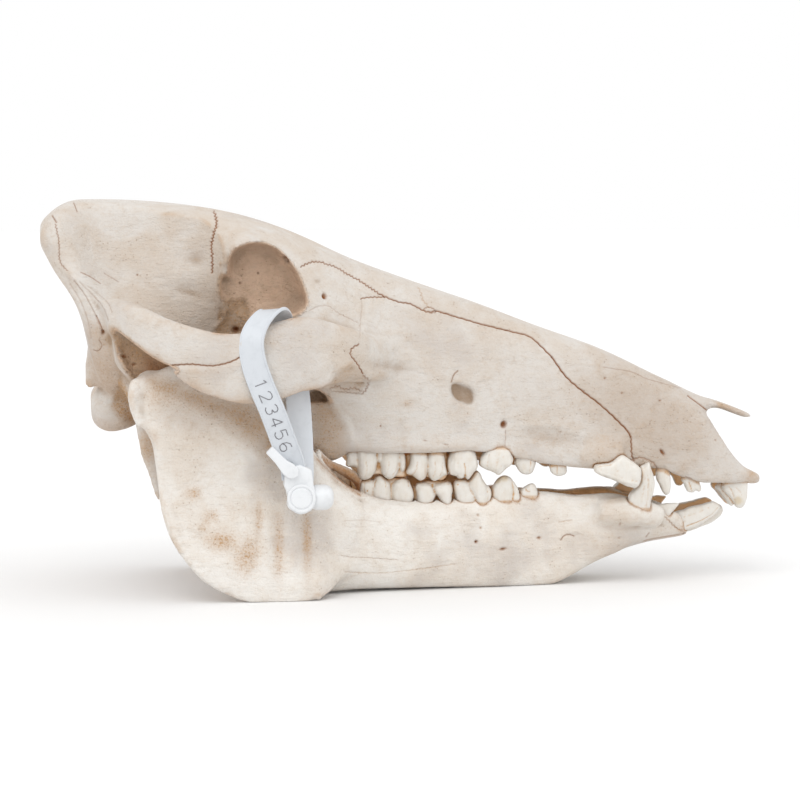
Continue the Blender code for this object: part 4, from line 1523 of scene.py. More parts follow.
# Sutures and cracks are dark brown lines; the dark in the holes and the shade along the nape grooves are
# painted shade.
CRANIUM_MARKS = (
    Line((
        (213, 209), (216.5, 221), (213, 236), (211, 247), (212, 258), (211.5, 273),
    ), 0.65, 0.5, 0.95, 1.4, 1.7),
    Line(((52.2, 215.6), (56.2, 222)), 0.7, 0.4, 0.7),
    Line((
        (55, 224), (58, 235.6), (59.3, 249), (59, 258), (62, 265.6), (68, 270.5),
    ), 0.55, 0.3, 0.6, 0.9, 1.6),
    Line(((73.3, 201.8), (77.3, 211.6)), 0.5, 0.3, 0.6),
    Line(((81, 272.2), (91, 277), (100.7, 283.5)), 0.5, 0.25, 0.6),
    Line(((104.4, 273.3), (119, 282)), 0.45, 0.2, 0.4),
    Line((
        (301, 267), (308, 263), (319, 261.5), (327, 264), (336, 267), (348, 274), (359, 280), (370, 287.5),
        (380, 294),
    ), 0.55, 0.45, 0.85, 1.0, 1.8),
    Line((
        (380, 294), (391, 299), (400, 302), (410, 303.5), (418, 307.5), (425, 311), (430, 312),
        (436, 310.5),
    ), 0.7, 0.5, 0.9, 0.5, 2.5),
    Line(((424, 309), (428, 307), (433, 308.5), (436, 312), (430, 313)), 0.5, 0.3, 0.6, 0.5, 1.5),
    Line(((418, 288), (421, 293), (423, 300), (429, 307)), 0.6, 0.15, 0.1, 1.2, 2.0, stain=0.5),
    Line((
        (436, 310.5), (448, 314), (461, 318), (478, 323), (496, 327.5), (512, 331.5), (529, 336),
        (540, 345), (552, 357),
    ), 0.7, 0.6, 0.95, 0.3, 4),
    Line((
        (552, 357), (559, 367), (566, 376.5), (580, 389), (596, 401), (611, 414), (619, 422), (627, 430),
        (631, 437),
    ), 0.8, 0.65, 1.0, 0.35, 4),
    Line(((631, 437), (631.5, 445), (632, 455), (634, 461)), 0.7, 0.5, 0.85, 0.6, 2.5),
    Line(((361, 299), (366, 297.5), (373.3, 297), (385, 297)), 0.6, 0.4, 0.8, 0.6, 2),
    Line(((361.5, 301), (362, 308), (360.5, 320), (360, 338)), 0.4, 0.15, 0.25, 0.3, 3),
    Line((
        (309, 311), (318, 306.5), (328, 306), (337, 312), (348, 318), (358, 323),
    ), 0.4, 0.15, 0.3, 0.4, 2.5),
    Line((
        (359, 344), (352, 349), (350.7, 354.5), (355.6, 361), (361, 370), (363, 374),
    ), 0.6, 0.5, 0.9, 0.7, 2.2),
    Line(((363, 376), (368, 380), (367.5, 386), (365, 391), (361.5, 394)), 0.6, 0.4, 0.5, 1.3, 1.6),
    Line(((330, 389), (338, 386), (344, 389.5), (352, 388), (362, 391)), 0.55, 0.3, 0.35, 1.2, 2.0),
    Line(((332, 391.5), (345, 392), (360, 393.5)), 0.5, 0.25, 0.3, 0.6, 2.0),
    Line(((603, 367), (622, 370), (634, 372.5), (645, 378), (662, 383), (681, 388)), 0.4, 0.2, 0.35, 0.2, 3),
    Line(((687.8, 395.6), (697.8, 403), (706.7, 410)), 0.6, 0.4, 0.85),
    Line((
        (172, 365.5), (184, 364.4), (194.4, 364.4), (205, 365.5), (214.4, 365.6), (230, 362), (241, 356.7),
    ), 0.7, 0.5, 0.9, 0.3, 3, (40, 90)),
    Seam(-67.0, 22.0, 0.8, 1.7),
    Seam(22.0, 143.0, 0.2, 4.0),
    Line(((505.5, 430), (505.5, 440), (504.4, 450)), 0.4, 0.2, 0.45, 0.2, 3),
    Line(((96, 316), (100, 325), (102.9, 332.5)), 0.8, 0.5, 0.6),
    Line(((70, 284), (80, 300), (87, 318), (91, 338)), 0.8, 0.3, 0.1, 0.2, 4, shade=0.3),
    Line(((74, 281), (85, 295), (92, 308), (96, 316)), 0.7, 0.35, 0.2, 0.2, 4, shade=0.3),
    Line(((80, 282), (93, 295), (103, 308), (108, 321)), 0.8, 0.35, 0.12, 0.2, 4, shade=0.3),
    Line(((88, 286), (99, 294), (108, 303), (112, 312)), 0.6, 0.25, 0.1, 0.2, 4, shade=0.2),
    Line(((93.3, 350), (98, 351), (102, 345.6), (99, 340)), 0.5, 0.2, 0.5),
    Line(((457.8, 371), (453.8, 375), (451.6, 382)), 0.7, 0.4, 0.4, shade=0.4, reach=(10, 40)),
    Line(((524, 426), (542, 425.5), (562, 427), (582, 436)), 3.4, -0.5, 0.0, fine=False),
    Line((
        (622.5, 457.5), (631, 460), (640, 457.5), (648, 460), (654, 463.5), (657.5, 470), (663, 470.6),
        (668, 475), (673, 480), (680, 479.5), (687, 477.6), (697, 482.5), (710, 485), (722, 485.5),
    ), 0.8, 0.3, 0.55, 0.5, 2.5),
    Patch((324.6, 296), (2.2, 2.8), 1.4, -20, 1.0, 0.5, 1.6, fine=True),
    Patch((503.8, 424.5), (2.8, 3.6), 1.8, 15, 1.0, 0.4, 1.6, fine=True),
    Patch((662.4, 452.3), (1.5, 3.6), 1.1, -35, 0.9, 0.3, 1.4, fine=True),
    Patch((137.3, 274.7), (0.9, 0.9), 0.5, 0, 0.7, fine=True),
    Patch((103, 332.5), (1.5, 1.8), 0.9, 0, 0.9, fine=True),
    Patch((124.4, 356.2), (2.6, 1.5), 0.7, 10, 0.9, 0.4, fine=True),
    Patch((133.5, 364.4), (1.7, 1.3), 0.5, 0, 0.8, 0.4, fine=True),
    Patch((147, 371), (1.6, 1.2), 0.5, 0, 0.8, 0.4, fine=True),
    Patch((126.7, 372), (1.3, 1.1), 0.6, 0, 0.6, 0.4, fine=True),
    Patch((285.6, 259.8), (2.2, 3.6), 2.0, -35, 0.9, 0.4, 1.3, reach=(0, 44), fine=True),
    Patch((258, 273), (1.2, 1.0), 0.6, 0, 0.5, reach=(0, 60), fine=True),
    Patch((240, 283), (1.6, 1.2), 0.6, 0, 0.4, reach=(0, 60), fine=True),
    Patch((235.5, 330.5), (3.2, 3.0), 2.2, 0, 1.0, 0.8, reach=(0, 56), fine=True),
    Patch((660, 400.4), (1.1, 0.9), 0.4, 0, 0.7, fine=True),
    Patch((622, 393), (1.2, 1.0), 0.4, 0, 0.5, fine=True),
    Patch((605, 378), (1.2, 1.2), 0.4, 0, 0.6, fine=True),
    Patch((715.6, 440), (0.9, 0.8), 0.3, 0, 0.5, fine=True),
    Patch((380.5, 426), (1.0, 0.9), 0.4, 0, 0.7, fine=True),
    Patch((425, 440.5), (2.4, 0.6), 0.3, 10, 0.5, fine=True),
    Patch((445.5, 444.5), (2.4, 0.6), 0.3, 10, 0.5, fine=True),
    Patch((437, 437), (3.0, 7.0), 0.0, 0, 0.0, 0.35),
    Patch((408, 404), (5.0, 3.0), 0.2, 0, 0.0, 0.4),
    Patch((606, 445), (20, 14), 0.0, 20, 0.0, 0.16),
)


@dataclass
class Cranium:
    """Upper skull, every bone above the lower jaw grown together."""

    viewpoint: Viewpoint
    finish: bpy.types.Material
    grain: float = 1.05
    coarse_grain: float = 1.3
    smoothing: int = 7
    last_smoothing: int = 3
    ring_step: float = 1.5
    nasal_roof: Rows = (
        (96.0, 9.5, 85.5, 78.0),
        (110.0, 10.0, 79.2, 72.5),
        (122.0, 9.5, 73.6, 69.0),
        (128.0, 8.6, 71.9, 69.0),
        (134.0, 6.8, 69.8, 66.9),
        (139.5, 4.6, 67.6, 64.8),
        (144.2, 2.4, 65.7, 63.3),
    )
    cheek_arch: Rows = (
        (-2.0, 22.0, 100.0, 84.0, 5.0),
        (-14.0, 33.0, 101.0, 83.0, 6.5),
        (-28.0, 46.0, 106.0, 84.0, 6.5),
        (-42.0, 54.0, 109.9, 81.8, 5.5),
        (-55.0, 59.0, 107.8, 77.7, 4.8),
        (-66.0, 61.5, 104.4, 77.3, 3.9),
        (-76.0, 63.0, 104.8, 79.8, 3.6),
        (-86.0, 64.0, 107.4, 84.2, 3.6),
        (-95.0, 62.5, 110.4, 91.6, 4.0),
        (-103.0, 58.0, 113.8, 96.6, 4.6),
        (-110.0, 50.0, 116.0, 102.0, 5.5),
        (-116.0, 40.0, 117.0, 104.0, 5.0),
    )
    joint_bar: Stations = (
        ((-99.0, 60.0, 98.5), 6.5, 5.5),
        ((-100.0, 52.0, 98.0), 8.0, 8.0),
        ((-101.5, 46.0, 96.5), 10.8, 12.5),
        ((-100.5, 37.0, 95.5), 11.5, 13.0),
        ((-98.0, 26.0, 94.5), 10.5, 11.0),
    )
    neck_condyle: Stations = (
        ((-101.0, 10.0, 80.0), 6.0, 7.0),
        ((-108.0, 11.5, 75.0), 8.5, 9.6),
        ((-114.5, 12.5, 72.4), 9.0, 9.8),
        ((-120.0, 13.0, 71.8), 7.5, 8.2),
        ((-123.0, 13.0, 71.6), 4.0, 4.6),
    )
    jugular_process: Stations = (
        ((-111.0, 31.0, 97.0), 5.0, 9.0),
        ((-104.5, 32.0, 82.0), 3.8, 6.5),
        ((-100.6, 31.0, 67.0), 3.2, 5.6),
        ((-99.3, 30.5, 57.0), 2.8, 5.4),
        ((-97.6, 30.0, 49.0), 2.5, 4.2),
        ((-96.6, 29.7, 41.0), 2.0, 3.0),
        ((-96.2, 29.5, 36.5), 1.5, 1.7),
    )
    nape_process: Stations = (
        ((-117.0, 23.0, 97.0), 5.0, 7.0),
        ((-121.0, 21.0, 88.5), 3.6, 4.2),
        ((-124.0, 19.5, 80.2), 1.7, 1.8),
    )
    ear_capsule: Stations = (
        ((-100.0, 20.0, 84.0), 6.0, 7.0),
        ((-95.0, 18.5, 72.0), 6.0, 7.5),
        ((-91.0, 17.5, 63.0), 4.0, 4.5),
    )
    throat_plate: Stations = (
        ((-60.0, 12.5, 76.0), 3.5, 13.0),
        ((-58.0, 13.5, 64.0), 2.6, 10.0),
        ((-58.0, 14.5, 54.0), 2.0, 5.0),
    )
    molar_bulge: Stations = (
        ((-41.0, 22.0, 62.0), 6.0, 4.0),
        ((-34.0, 21.0, 61.0), 7.5, 8.0),
        ((-24.0, 20.5, 60.0), 7.5, 6.0),
    )
    canine_socket: Stations = (
        ((70.0, 19.5, 52.0), 4.0, 4.5),
        ((79.0, 21.0, 52.5), 5.0, 6.0),
        ((87.0, 21.5, 53.5), 4.5, 5.0),
    )
    brow_spur: Stations = (
        ((-62.0, 33.0, 137.0), 5.0, 5.0),
        ((-65.0, 39.0, 132.0), 3.4, 3.8),
        ((-66.5, 41.0, 127.0), 2.0, 2.4),
    )
    spinal_opening: tuple[Point, Point] = ((-118.0, 0.0, 82.0), (22.0, 9.5, 8.0))
    nose_passage: Rows = (
        (60.0, 7.0, 88.0, 66.0),
        (80.0, 9.5, 84.0, 60.0),
        (100.0, 11.0, 77.0, 55.0),
        (118.0, 11.0, 70.0, 49.5),
        (130.0, 10.0, 65.5, 46.5),
        (148.0, 9.0, 64.5, 45.5),
    )
    throat_passage: Rows = (
        (-82.0, 7.0, 68.0, 40.0),
        (-60.0, 9.5, 69.0, 40.0),
        (-40.0, 8.5, 70.0, 50.0),
        (-26.0, 7.0, 69.0, 62.0),
    )
    deep_from: float = 31.0
    wall_reach: float = 0.9
    wall_fade: float = 0.6
    base_front: float = -30.0

    def __post_init__(self) -> None:
        """Starts with no hollows cut."""
        self.walls: BVHTree | None = None

    def body(self) -> bpy.types.Object:
        """Main mass, from the nape crest to the tip of the snout.

        Returns:
            The new object.
        """
        knots = sorted(CRANIUM_SECTIONS)
        sections = []
        for top, *side, foot in (CRANIUM_SECTIONS[x] for x in knots):
            sections.append([Vector((0, y, z)) for y, z in ((0, top), *side, (0, foot))])
        count = round((knots[-1] - knots[0]) / self.ring_step)
        rings = []
        for i in range(count + 1):
            x = knots[0] + (knots[-1] - knots[0]) * i / count
            half = [curve_through(knots, [s[k] for s in sections], x) for k in range(len(sections[0]))]
            left = [Vector((x, p.y, p.z)) for p in half]
            right = [Vector((x, -p.y, p.z)) for p in half[-2:0:-1]]
            rings.append(rounded_ring(left + right, 5))
        return loft("cranium_body", rings)

    def arch(self, side: int) -> bpy.types.Object:
        """Cheek arch, from the face back to the nape crest.

        Args:
            side: sign of the side.

        Returns:
            The new object.
        """
        rings = []
        rows = resampled(self.cheek_arch, self.ring_step)
        for i, (x, y, top, bottom, half_thickness) in enumerate(rows):
            before, after = rows[max(i - 1, 0)], rows[min(i + 1, len(rows) - 1)]
            run = Vector((after[0] - before[0], after[1] - before[1], 0)).normalized()
            across = Vector((-run.y, run.x * side, 0))
            centre = Vector((x, y * side, (top + bottom) / 2))
            sizes = (half_thickness, (top - bottom) / 2)
            rings.append(oval(centre, across, UPWARDS, sizes, 40, 3.4))
        return loft("cheek_arch", rings)

    def shape(self) -> bpy.types.Object:
        """Fuses the masses, cuts the hollows and smooths the whole.

        Returns:
            The bone, still plain.
        """
        pieces = [self.body(), flat_loft("nasal_roof", self.nasal_roof)]
        hollows = [
            flat_loft("nose_passage", self.nose_passage),
            flat_loft("throat_passage", self.throat_passage),
            ball("spinal_opening", *self.spinal_opening),
        ]
        for side in Side:
            sign = side.value
            pieces += [
                self.arch(sign),
                limb("joint_bar", self.joint_bar, sign, (0, 0, 1)),
            ]
            for path in (
                self.neck_condyle, self.nape_process, self.jugular_process, self.ear_capsule,
                self.throat_plate, self.molar_bulge, self.canine_socket, self.brow_spur,
            ):
                pieces.append(limb("cranium_limb", path, sign))
            pieces += [drawn.build(self.viewpoint, side) for drawn in CRANIUM_BARS + CRANIUM_SWELLINGS]
        made = fused(joined("cranium_bone", pieces), self.coarse_grain)
        made = fused(carved(made, hollows), self.grain)
        smoothed(made, self.smoothing)
        sided = [hollow for hollow in CRANIUM_HOLLOWS for _ in Side]
        burrows = [hollow.build(self.viewpoint, side) for hollow in CRANIUM_HOLLOWS for side in Side]
        deep = [burrow for burrow, hollow in zip(burrows, sided) if hollow.outer > self.deep_from]
        self.walls = BVHTree.FromPolygons(*merged_mesh(deep))
        made = fused(carved(made, [joined("burrows", burrows)]), self.grain)
        return smoothed(made, self.last_smoothing)

    def build(self, teeth: Sequence[bpy.types.Object]) -> bpy.types.Object:
        """Models and dresses the cranium around its teeth.

        Args:
            teeth: the upper teeth, which the bone stands back from.

        Returns:
            The piece.
        """
        made = self.shape()
        finish_bone(made, self.viewpoint, CRANIUM_FORMS, CRANIUM_MARKS, teeth, self.inside)
        dressed(made, self.finish, Slot.BONE, ["cranium"])
        return made

    def inside(self, relief: Relief) -> np.ndarray:
        """Share of each vertex that lies in an eye socket, the nose or under the skull; the finish tints
        these places brown, partly as the bone's own staining and partly as painted shade.

        Args:
            relief: the piece's vertices.

        Returns:
            One share per vertex.
        """
        points = relief.points / MM
        gap = gaps_to(self.walls, relief, 1.0) / MM
        burrow = np.clip((self.wall_reach - gap) / self.wall_fade, 0, 1)
        inward = np.clip(-relief.normals[:, 1] * np.sign(points[:, 1]) - 0.1, 0, 1)
        # Faces turned down under the back of the skull take painted shade.
        under = np.clip(-relief.normals[:, 2] - 0.2, 0, 1) * (points[:, 0] < self.base_front)
        return np.clip(burrow + inward * 0.9 + under * 0.6, 0, 1)


def finish_bone(
    piece: bpy.types.Object,
    viewpoint: Viewpoint,
    forms: Sequence[Mark],
    marks: Sequence[Mark],
    teeth: Sequence[bpy.types.Object],
    inside: Callable[[Relief], np.ndarray],
) -> None:
    """Presses the forms, refines the skin for the marks, makes them, and stores what the finish reads.

    Args:
        piece: the bone.
        viewpoint: the photograph's camera.
        forms: broad dents and bumps.
        marks: fine lines, holes and stains.
        teeth: teeth that stand in the bone.
        inside: gives the share of each vertex that counts as inside.
    """
    relief = Relief(piece, viewpoint)
    relief.mark(forms)
    relief.settle()
    gums = BVHTree.FromPolygons(*merged_mesh(teeth))
    for spare, reach in ((3.2, 2.2), (1.6, 1.1)):
        relief = Relief(piece, viewpoint)
        chosen = near_marks(relief, marks, spare)
        chosen |= gaps_to(gums, relief, reach) < reach * MM
        refined(piece, chosen)
    relief = Relief(piece, viewpoint)
    hollow = Hollowness(60, 0.3, 1.8).of(relief)
    edge = Hollowness(12, 0.12, 0.35, -1).of(relief)
    relief.mark(forms)
    relief.push[:] = 0
    relief.mark(marks)
    gap = gaps_to(gums, relief, 1.2) / MM
    relief.push -= np.clip(1 - gap / GUM_WIDTH, 0, 1) * GUM_DEPTH
    # Brown line and stain round the tooth sockets: a dark joint at the gum, and painted shade on the bone
    # between the teeth.
    channels = relief.channels
    channels["line"] = np.maximum(channels["line"], np.clip(1.2 - gap / GUM_WIDTH, 0, 1) * 0.5)
    channels["stain"] = np.maximum(channels["stain"], np.clip(1.2 - gap, 0, 1) * 0.9)
    relief.settle()
    relief = Relief(piece, viewpoint)
    crease = Hollowness(6, 0.05, 0.22).of(relief)
    read = {"crease": crease, "hollow": hollow, "edge": edge, "inner": inside(relief)}
    for name, values in {**channels, **read}.items():
        relief.keep(name, values)
    piece.data.calc_loop_triangles()
    share = MOST_TRIANGLES / len(piece.data.loop_triangles)
    if share < 1:
        modified(piece, "DECIMATE", ratio=share)
    smooth_shaded(piece)


def merged_mesh(pieces: Sequence[bpy.types.Object]) -> tuple[list[Vector], list[tuple[int, ...]]]:
    """Corners and faces of several pieces as one list each.

    Args:
        pieces: the pieces.

    Returns:
        The corners, and the faces as numbers of corners.
    """
    points: list[Vector] = []
    faces: list[tuple[int, ...]] = []
    for piece in pieces:
        start = len(points)
        points += [v.co.copy() for v in piece.data.vertices]
        faces += [tuple(start + i for i in face.vertices) for face in piece.data.polygons]
    return points, faces


def gaps_to(tree: BVHTree, relief: Relief, reach: float) -> np.ndarray:
    """Distance of each vertex from a surface, in metres, or a metre if it is beyond the reach.

    Args:
        tree: the surface.
        relief: the piece's vertices.
        reach: its reach in millimetres.

    Returns:
        One distance per vertex.
    """
    gaps = np.ones(len(relief.points))
    for i, point in enumerate(relief.points):
        found = tree.find_nearest(Vector(point), reach * MM)
        if found[3] is not None:
            gaps[i] = found[3]
    return gaps


# Lower jaw

MANDIBLE_HOLLOWS = (
    Puff((
        (312, 451), (325, 461), (334, 469), (345, 475), (358, 481), (359, 492), (350, 488), (338, 481),
        (326, 471.5), (312, 460),
    ), 34, 19.5, 5.0),
)
MANDIBLE_BARS = (
    Bar((
        (363, 495, 19, 2.0, 2.6), (361, 486, 19.3, 2.0, 2.4), (357, 479.5, 20.5, 2.4, 2.2),
        (350, 474.5, 22.4, 2.6, 2.2), (341, 469.5, 25, 2.2, 2.0), (333, 466, 27.5, 2.0, 1.8),
        (325, 461, 30, 1.8, 1.8), (315, 452, 34, 2.0, 2.2),
    ), far_drop=4.0),
    Bar((
        (318, 463, 34, 2.6, 2.0), (335, 481, 32, 2.8, 1.9), (348, 491, 30, 2.8, 1.9),
        (362, 498, 26.8, 2.6, 2.2), (378, 504, 25, 2.4, 2.2),
    )),
    Bar((
        (136, 381, 50, 2.6, 2.0), (134, 386, 50, 2.6, 1.8), (132, 394.5, 50, 2.4, 1.6),
        (132.6, 405, 50, 2.2, 1.5), (136, 416, 49.6, 2.0, 1.4), (140, 425, 49.4, 1.8, 1.3),
    )),
    Bar((
        (620, 500, 17, 2.2, 2.0), (633, 503.5, 18.5, 2.4, 2.0), (643, 509, 19, 2.6, 2.0),
        (653, 509, 17, 2.2, 2.2), (663, 517, 14, 2.0, 2.2), (675, 518, 10.5, 2.0, 2.6),
        (685, 532, 7, 2.0, 2.0),
    )),
)
# Shade in these forms is painted shade; the brown under the cheek arch is the arch's painted shadow with some
# stain, and the dark brown trough behind the last molar is painted shade with stain.
MANDIBLE_FORMS = (
    Patch((276, 540), (9, 60), 0.8, turn=2, shade=0.12),
    Patch((292, 550), (6, 60), -0.6, turn=2),
    Patch((307, 545), (7, 45), 0.8, turn=2, shade=0.15),
    Patch((258, 530), (5, 45), 0.5, turn=2),
    Patch((320, 520), (24, 40), 0.5),
    Patch((270, 470), (26, 34), 0.5, turn=30, shade=0.12),
    # Painted shadow of the cheek arch on the ramus, with some stain.
    Field((
        (150, 380), (215, 395), (262, 408), (300, 410), (300, 470), (262, 450), (225, 425), (180, 400),
    ), 16, 0.6, 0.75, 0.6),
    Field(((600, 505), (650, 512), (684, 533), (640, 548), (600, 560), (570, 540)), 14, 0.0, 0.12, 0.05),
    # Trough behind the last molar: painted shade with stain.
    Field((
        (320, 460), (334, 470), (346, 477.5), (360, 483), (360, 492), (348, 486.5), (337, 479.5),
        (324, 469),
    ), 2.0, 0.0, 0.9, 0.9, 0.85, (0, 33)),
    Line((
        (313, 450), (325, 461), (333, 466), (341, 469.5), (350, 474.5), (357, 479.5), (361, 487),
    ), 3.6, 0.0, 0.4, stain=0.9, shade=0.5, reach=(0, 34), fine=False),
    Line((
        (314, 457), (326, 471.5), (338, 483), (358, 494),
    ), 2.4, 0.0, 0.0, stain=0.35, shade=0.15, fine=False),
    # Darkest part of the trough: painted shade.
    Patch((349, 480.5), (11, 4.5), 0.0, 38, 0.9, 1.0, reach=(0, 36), shade=1.0),
    Patch((337, 473), (10, 4), 0.0, 40, 0.3, 1.0, reach=(0, 36), shade=0.6),
    Patch((186, 418), (34, 16), 0.0, 20, 0.0, 0.2, shade=0.4),
    Patch((205, 470), (46, 56), 0.0, 0, shade=0.14),
    Line((
        (136, 382), (133, 395), (134, 408), (139, 424), (148, 452), (160, 500), (176, 545), (205, 580),
    ), 3.0, -0.5, 0.0, fine=False),
    Line(((143, 395), (143, 412), (152, 440), (166, 490), (184, 540)), 5.0, 0.4, 0.0, shade=0.1, fine=False),
    Line(((336, 596), (326, 599), (318, 597)), 3.5, -0.8, 0.0, fine=False),
    Patch((175, 396), (30, 12), 0.0, 10, 0.0, 0.5),
)
# The dark in the holes is painted shade; the stain under the cheek arch is partly the arch's painted shadow.
MANDIBLE_MARKS = (
    Line(((665, 517), (672, 524), (679, 530), (686, 533)), 0.7, 0.3, 0.3, 0.8, 1.8, stain=0.5),
    Patch((193.3, 493.3), (7, 6), 0.0, 0, 0.0, 0.8),
    Patch((212, 515.6), (7, 5), 0.0, -30, 0.0, 0.9),
    Patch((203, 528), (5, 4), 0.0, -40, 0.0, 0.6),
    Patch((231, 510), (4, 5), 0.0, 0, 0.0, 0.6),
    Patch((222, 541), (15, 9), 0.0, 0, 0.0, 0.85),
    Patch((247, 556), (12, 18), 0.0, 15, 0.0, 0.8),
    Patch((259, 520), (4, 16), 0.0, 0, 0.0, 0.6),
    Patch((279, 546), (5, 28), 0.0, 0, 0.0, 0.7),
    Patch((307, 540), (4.2, 28), 0.0, 0, 0.0, 0.65),
    Patch((170, 390), (20, 9), 0.0, 10, 0.0, 0.6),
    # Stain under the cheek arch, partly the arch's painted shadow.
    Patch((238, 418), (34, 12), 0.0, 20, 0.0, 0.6),
    Line(((317, 459), (327, 469), (342, 482), (360, 495)), 1.4, 0.0, 0.3, 0.2, 3, stain=0.7),
    Patch((476.2, 541.8), (1.5, 1.4), 1.2, 0, 1.0, 0.3, fine=True),
    Patch((477.8, 515), (1.2, 1.2), 0.4, 0, 0.35, 0.6, fine=True),
    Patch((480.7, 528), (1.3, 1.3), 0.4, 0, 0.3, 0.6, fine=True),
    Patch((503, 549), (3.2, 1.2), 0.9, -10, 0.8, 0.4, fine=True),
    Patch((538.9, 537.8), (2.0, 1.2), 0.7, 0, 0.75, 0.4, fine=True),
    Patch((620, 524), (1.0, 1.8), 0.3, 30, 0.5, fine=True),
    Patch((619, 538), (1.2, 0.8), 0.3, 0, 0.4, fine=True),
    Patch((449, 497), (1.0, 0.9), 0.4, 0, 0.7, fine=True),
    Line(((561, 540), (564, 536), (569, 534.5), (574, 536)), 0.7, 0.45, 0.55),
    Line(((640, 544.4), (645.6, 541), (664, 537.5), (684.4, 534)), 0.8, 0.45, 0.5, stain=0.3),
    Line(((646, 537), (649, 533)), 0.7, 0.2, 0.5),
    Line(((341, 555.5), (352, 557), (372, 558), (398, 560)), 0.4, 0.2, 0.35, 0.3, 4),
    Line(((345, 572), (380, 573), (420, 569), (455, 564)), 0.5, 0.15, 0.1, 0.3, 4, stain=0.4),
    Line(((344, 521), (362, 520), (380, 522)), 0.35, 0.1, 0.25, 0.2, 4),
    Line(((350, 527), (366, 527)), 0.35, 0.1, 0.2, 0.2, 4),
    Line(((559, 522), (572, 520)), 0.6, 0.15, 0.2, stain=0.4),
)


@dataclass
class Mandible:
    """Lower jaw, both halves grown together at the chin."""

    viewpoint: Viewpoint
    finish: bpy.types.Material
    grain: float = 1.0
    coarse_grain: float = 1.2
    smoothing: int = 6
    half_step: float = 1.8
    plate_step: float = 1.5
    plate_levels: int = 20
    waist_height: float = 0.45
    edge_share: float = 0.55
    edge_growth: float = 0.25
    chin: Rows = (
        (116.5, 5.0, 21.8, 17.2),
        (112.5, 8.6, 26.0, 16.6),
        (108.0, 11.5, 29.4, 16.0),
        (100.0, 14.6, 32.4, 14.8),
        (92.0, 17.2, 34.8, 12.8),
        (85.0, 18.0, 36.2, 10.4),
        (77.0, 17.2, 36.0, 7.4),
        (68.0, 16.6, 34.5, 3.0),
        (60.0, 16.2, 31.0, -0.2),
        (52.0, 14.5, 24.0, -1.0),
        (45.0, 11.0, 15.0, 1.0),
    )
    tongue_trough: Rows = (
        (104.0, 2.5, 40.0, 31.0),
        (96.0, 6.5, 41.0, 28.0),
        (84.0, 9.5, 42.0, 25.5),
        (70.0, 10.5, 42.0, 22.0),
        (58.0, 10.5, 42.0, 17.0),
        (44.0, 9.0, 42.0, 9.0),
    )
    halves: Rows = (
        (92.0, 8.0, 17.0, 15.0, 34.0),
        (85.0, 8.0, 18.0, 11.8, 36.0),
        (77.0, 8.0, 17.6, 8.4, 36.0),
        (68.0, 8.0, 17.8, 3.4, 35.7),
        (60.0, 8.0, 18.6, -0.2, 36.9),
        (50.0, 8.5, 20.4, -0.9, 37.6),
        (36.0, 10.0, 23.5, -0.4, 36.8),
        (26.0, 10.2, 25.3, -0.1, 36.1),
        (17.0, 10.5, 27.0, 0.2, 35.1),
        (-3.0, 11.0, 31.0, 0.5, 35.4),
        (-20.0, 12.5, 35.0, 0.8, 38.0),
        (-34.0, 19.0, 39.0, 0.8, 41.0),
        (-50.0, 31.0, 41.0, 4.0, 40.0),
    )
    plate: Rows = (
        (-10.0, 13.0, 29.0, 28.0, 2.0, 28.0, 2.0, 28.0, 2.0),
        (-19.0, 10.0, 36.0, 32.6, 3.2, 32.0, 3.2, 31.5, 2.6),
        (-27.0, 6.5, 42.4, 37.0, 4.0, 36.0, 4.0, 35.0, 3.0),
        (-32.0, 2.5, 49.0, 43.0, 4.0, 39.0, 4.0, 37.0, 3.0),
        (-38.0, 0.2, 58.0, 46.5, 4.0, 41.5, 4.0, 38.5, 2.8),
        (-46.0, -1.5, 75.0, 47.0, 4.0, 43.0, 3.6, 39.0, 2.4),
        (-55.0, -1.5, 92.0, 47.5, 4.0, 44.0, 3.4, 40.0, 2.2),
        (-65.0, 0.3, 98.5, 48.5, 4.0, 45.0, 3.2, 41.0, 2.4),
        (-73.0, 3.6, 98.0, 49.5, 4.0, 45.5, 3.2, 43.0, 2.6),
        (-81.0, 8.8, 94.0, 50.5, 4.0, 46.0, 3.2, 45.0, 3.0),
        (-88.0, 17.0, 92.0, 51.0, 3.8, 46.5, 3.4, 47.0, 3.4),
        (-94.0, 27.5, 91.0, 50.5, 3.6, 47.0, 3.8, 48.5, 4.0),
        (-97.6, 42.0, 89.0, 49.8, 3.3, 48.0, 3.8, 49.2, 4.2),
        (-99.2, 58.0, 88.2, 49.4, 3.0, 48.3, 3.6, 49.6, 4.0),
        (-102.4, 66.0, 87.6, 49.0, 2.8, 48.5, 3.4, 50.0, 3.8),
        (-106.0, 71.0, 86.8, 49.0, 2.5, 49.0, 3.0, 50.0, 3.3),
        (-108.8, 77.5, 84.8, 49.0, 2.2, 49.5, 2.6, 50.0, 2.8),
    )
    condyle: Stations = (
        ((-98.0, 36.0, 86.0), 3.0, 4.0),
        ((-99.0, 41.0, 85.6), 4.4, 6.0),
        ((-99.6, 47.0, 85.0), 4.4, 6.4),
        ((-100.0, 52.0, 84.0), 3.0, 4.6),
    )
    canine_socket: Stations = (
        ((78.0, 17.0, 29.6), 4.0, 5.0),
        ((88.0, 18.9, 29.4), 5.0, 5.6),
        ((95.0, 19.0, 28.6), 4.4, 5.2),
        ((103.0, 15.5, 26.4), 3.4, 4.6),
    )
    far_sag: Point = (2.2, 45.0, 24.0)

    def half(self, side: int) -> bpy.types.Object:
        """Body of one half, from the chin back under the upright plate.

        The left one's rim lies lower, by far_sag's depth at its x and over its spread.

        Args:
            side: sign of the side.

        Returns:
            The new object.
        """
        sag, middle, spread = self.far_sag
        rings = []
        for x, inner, outer, bottom, top in resampled(self.halves, self.half_step):
            if side > 0:
                top -= sag * math.exp(-(((x - middle) / spread) ** 2))
            centre = Vector((x, side * (inner + outer) / 2, (bottom + top) / 2))
            sizes = ((outer - inner) / 2, (top - bottom) / 2)
            rings.append(oval(centre, SIDEWAYS, UPWARDS, sizes, 40, 2.9))
        return loft("jaw_half", rings)

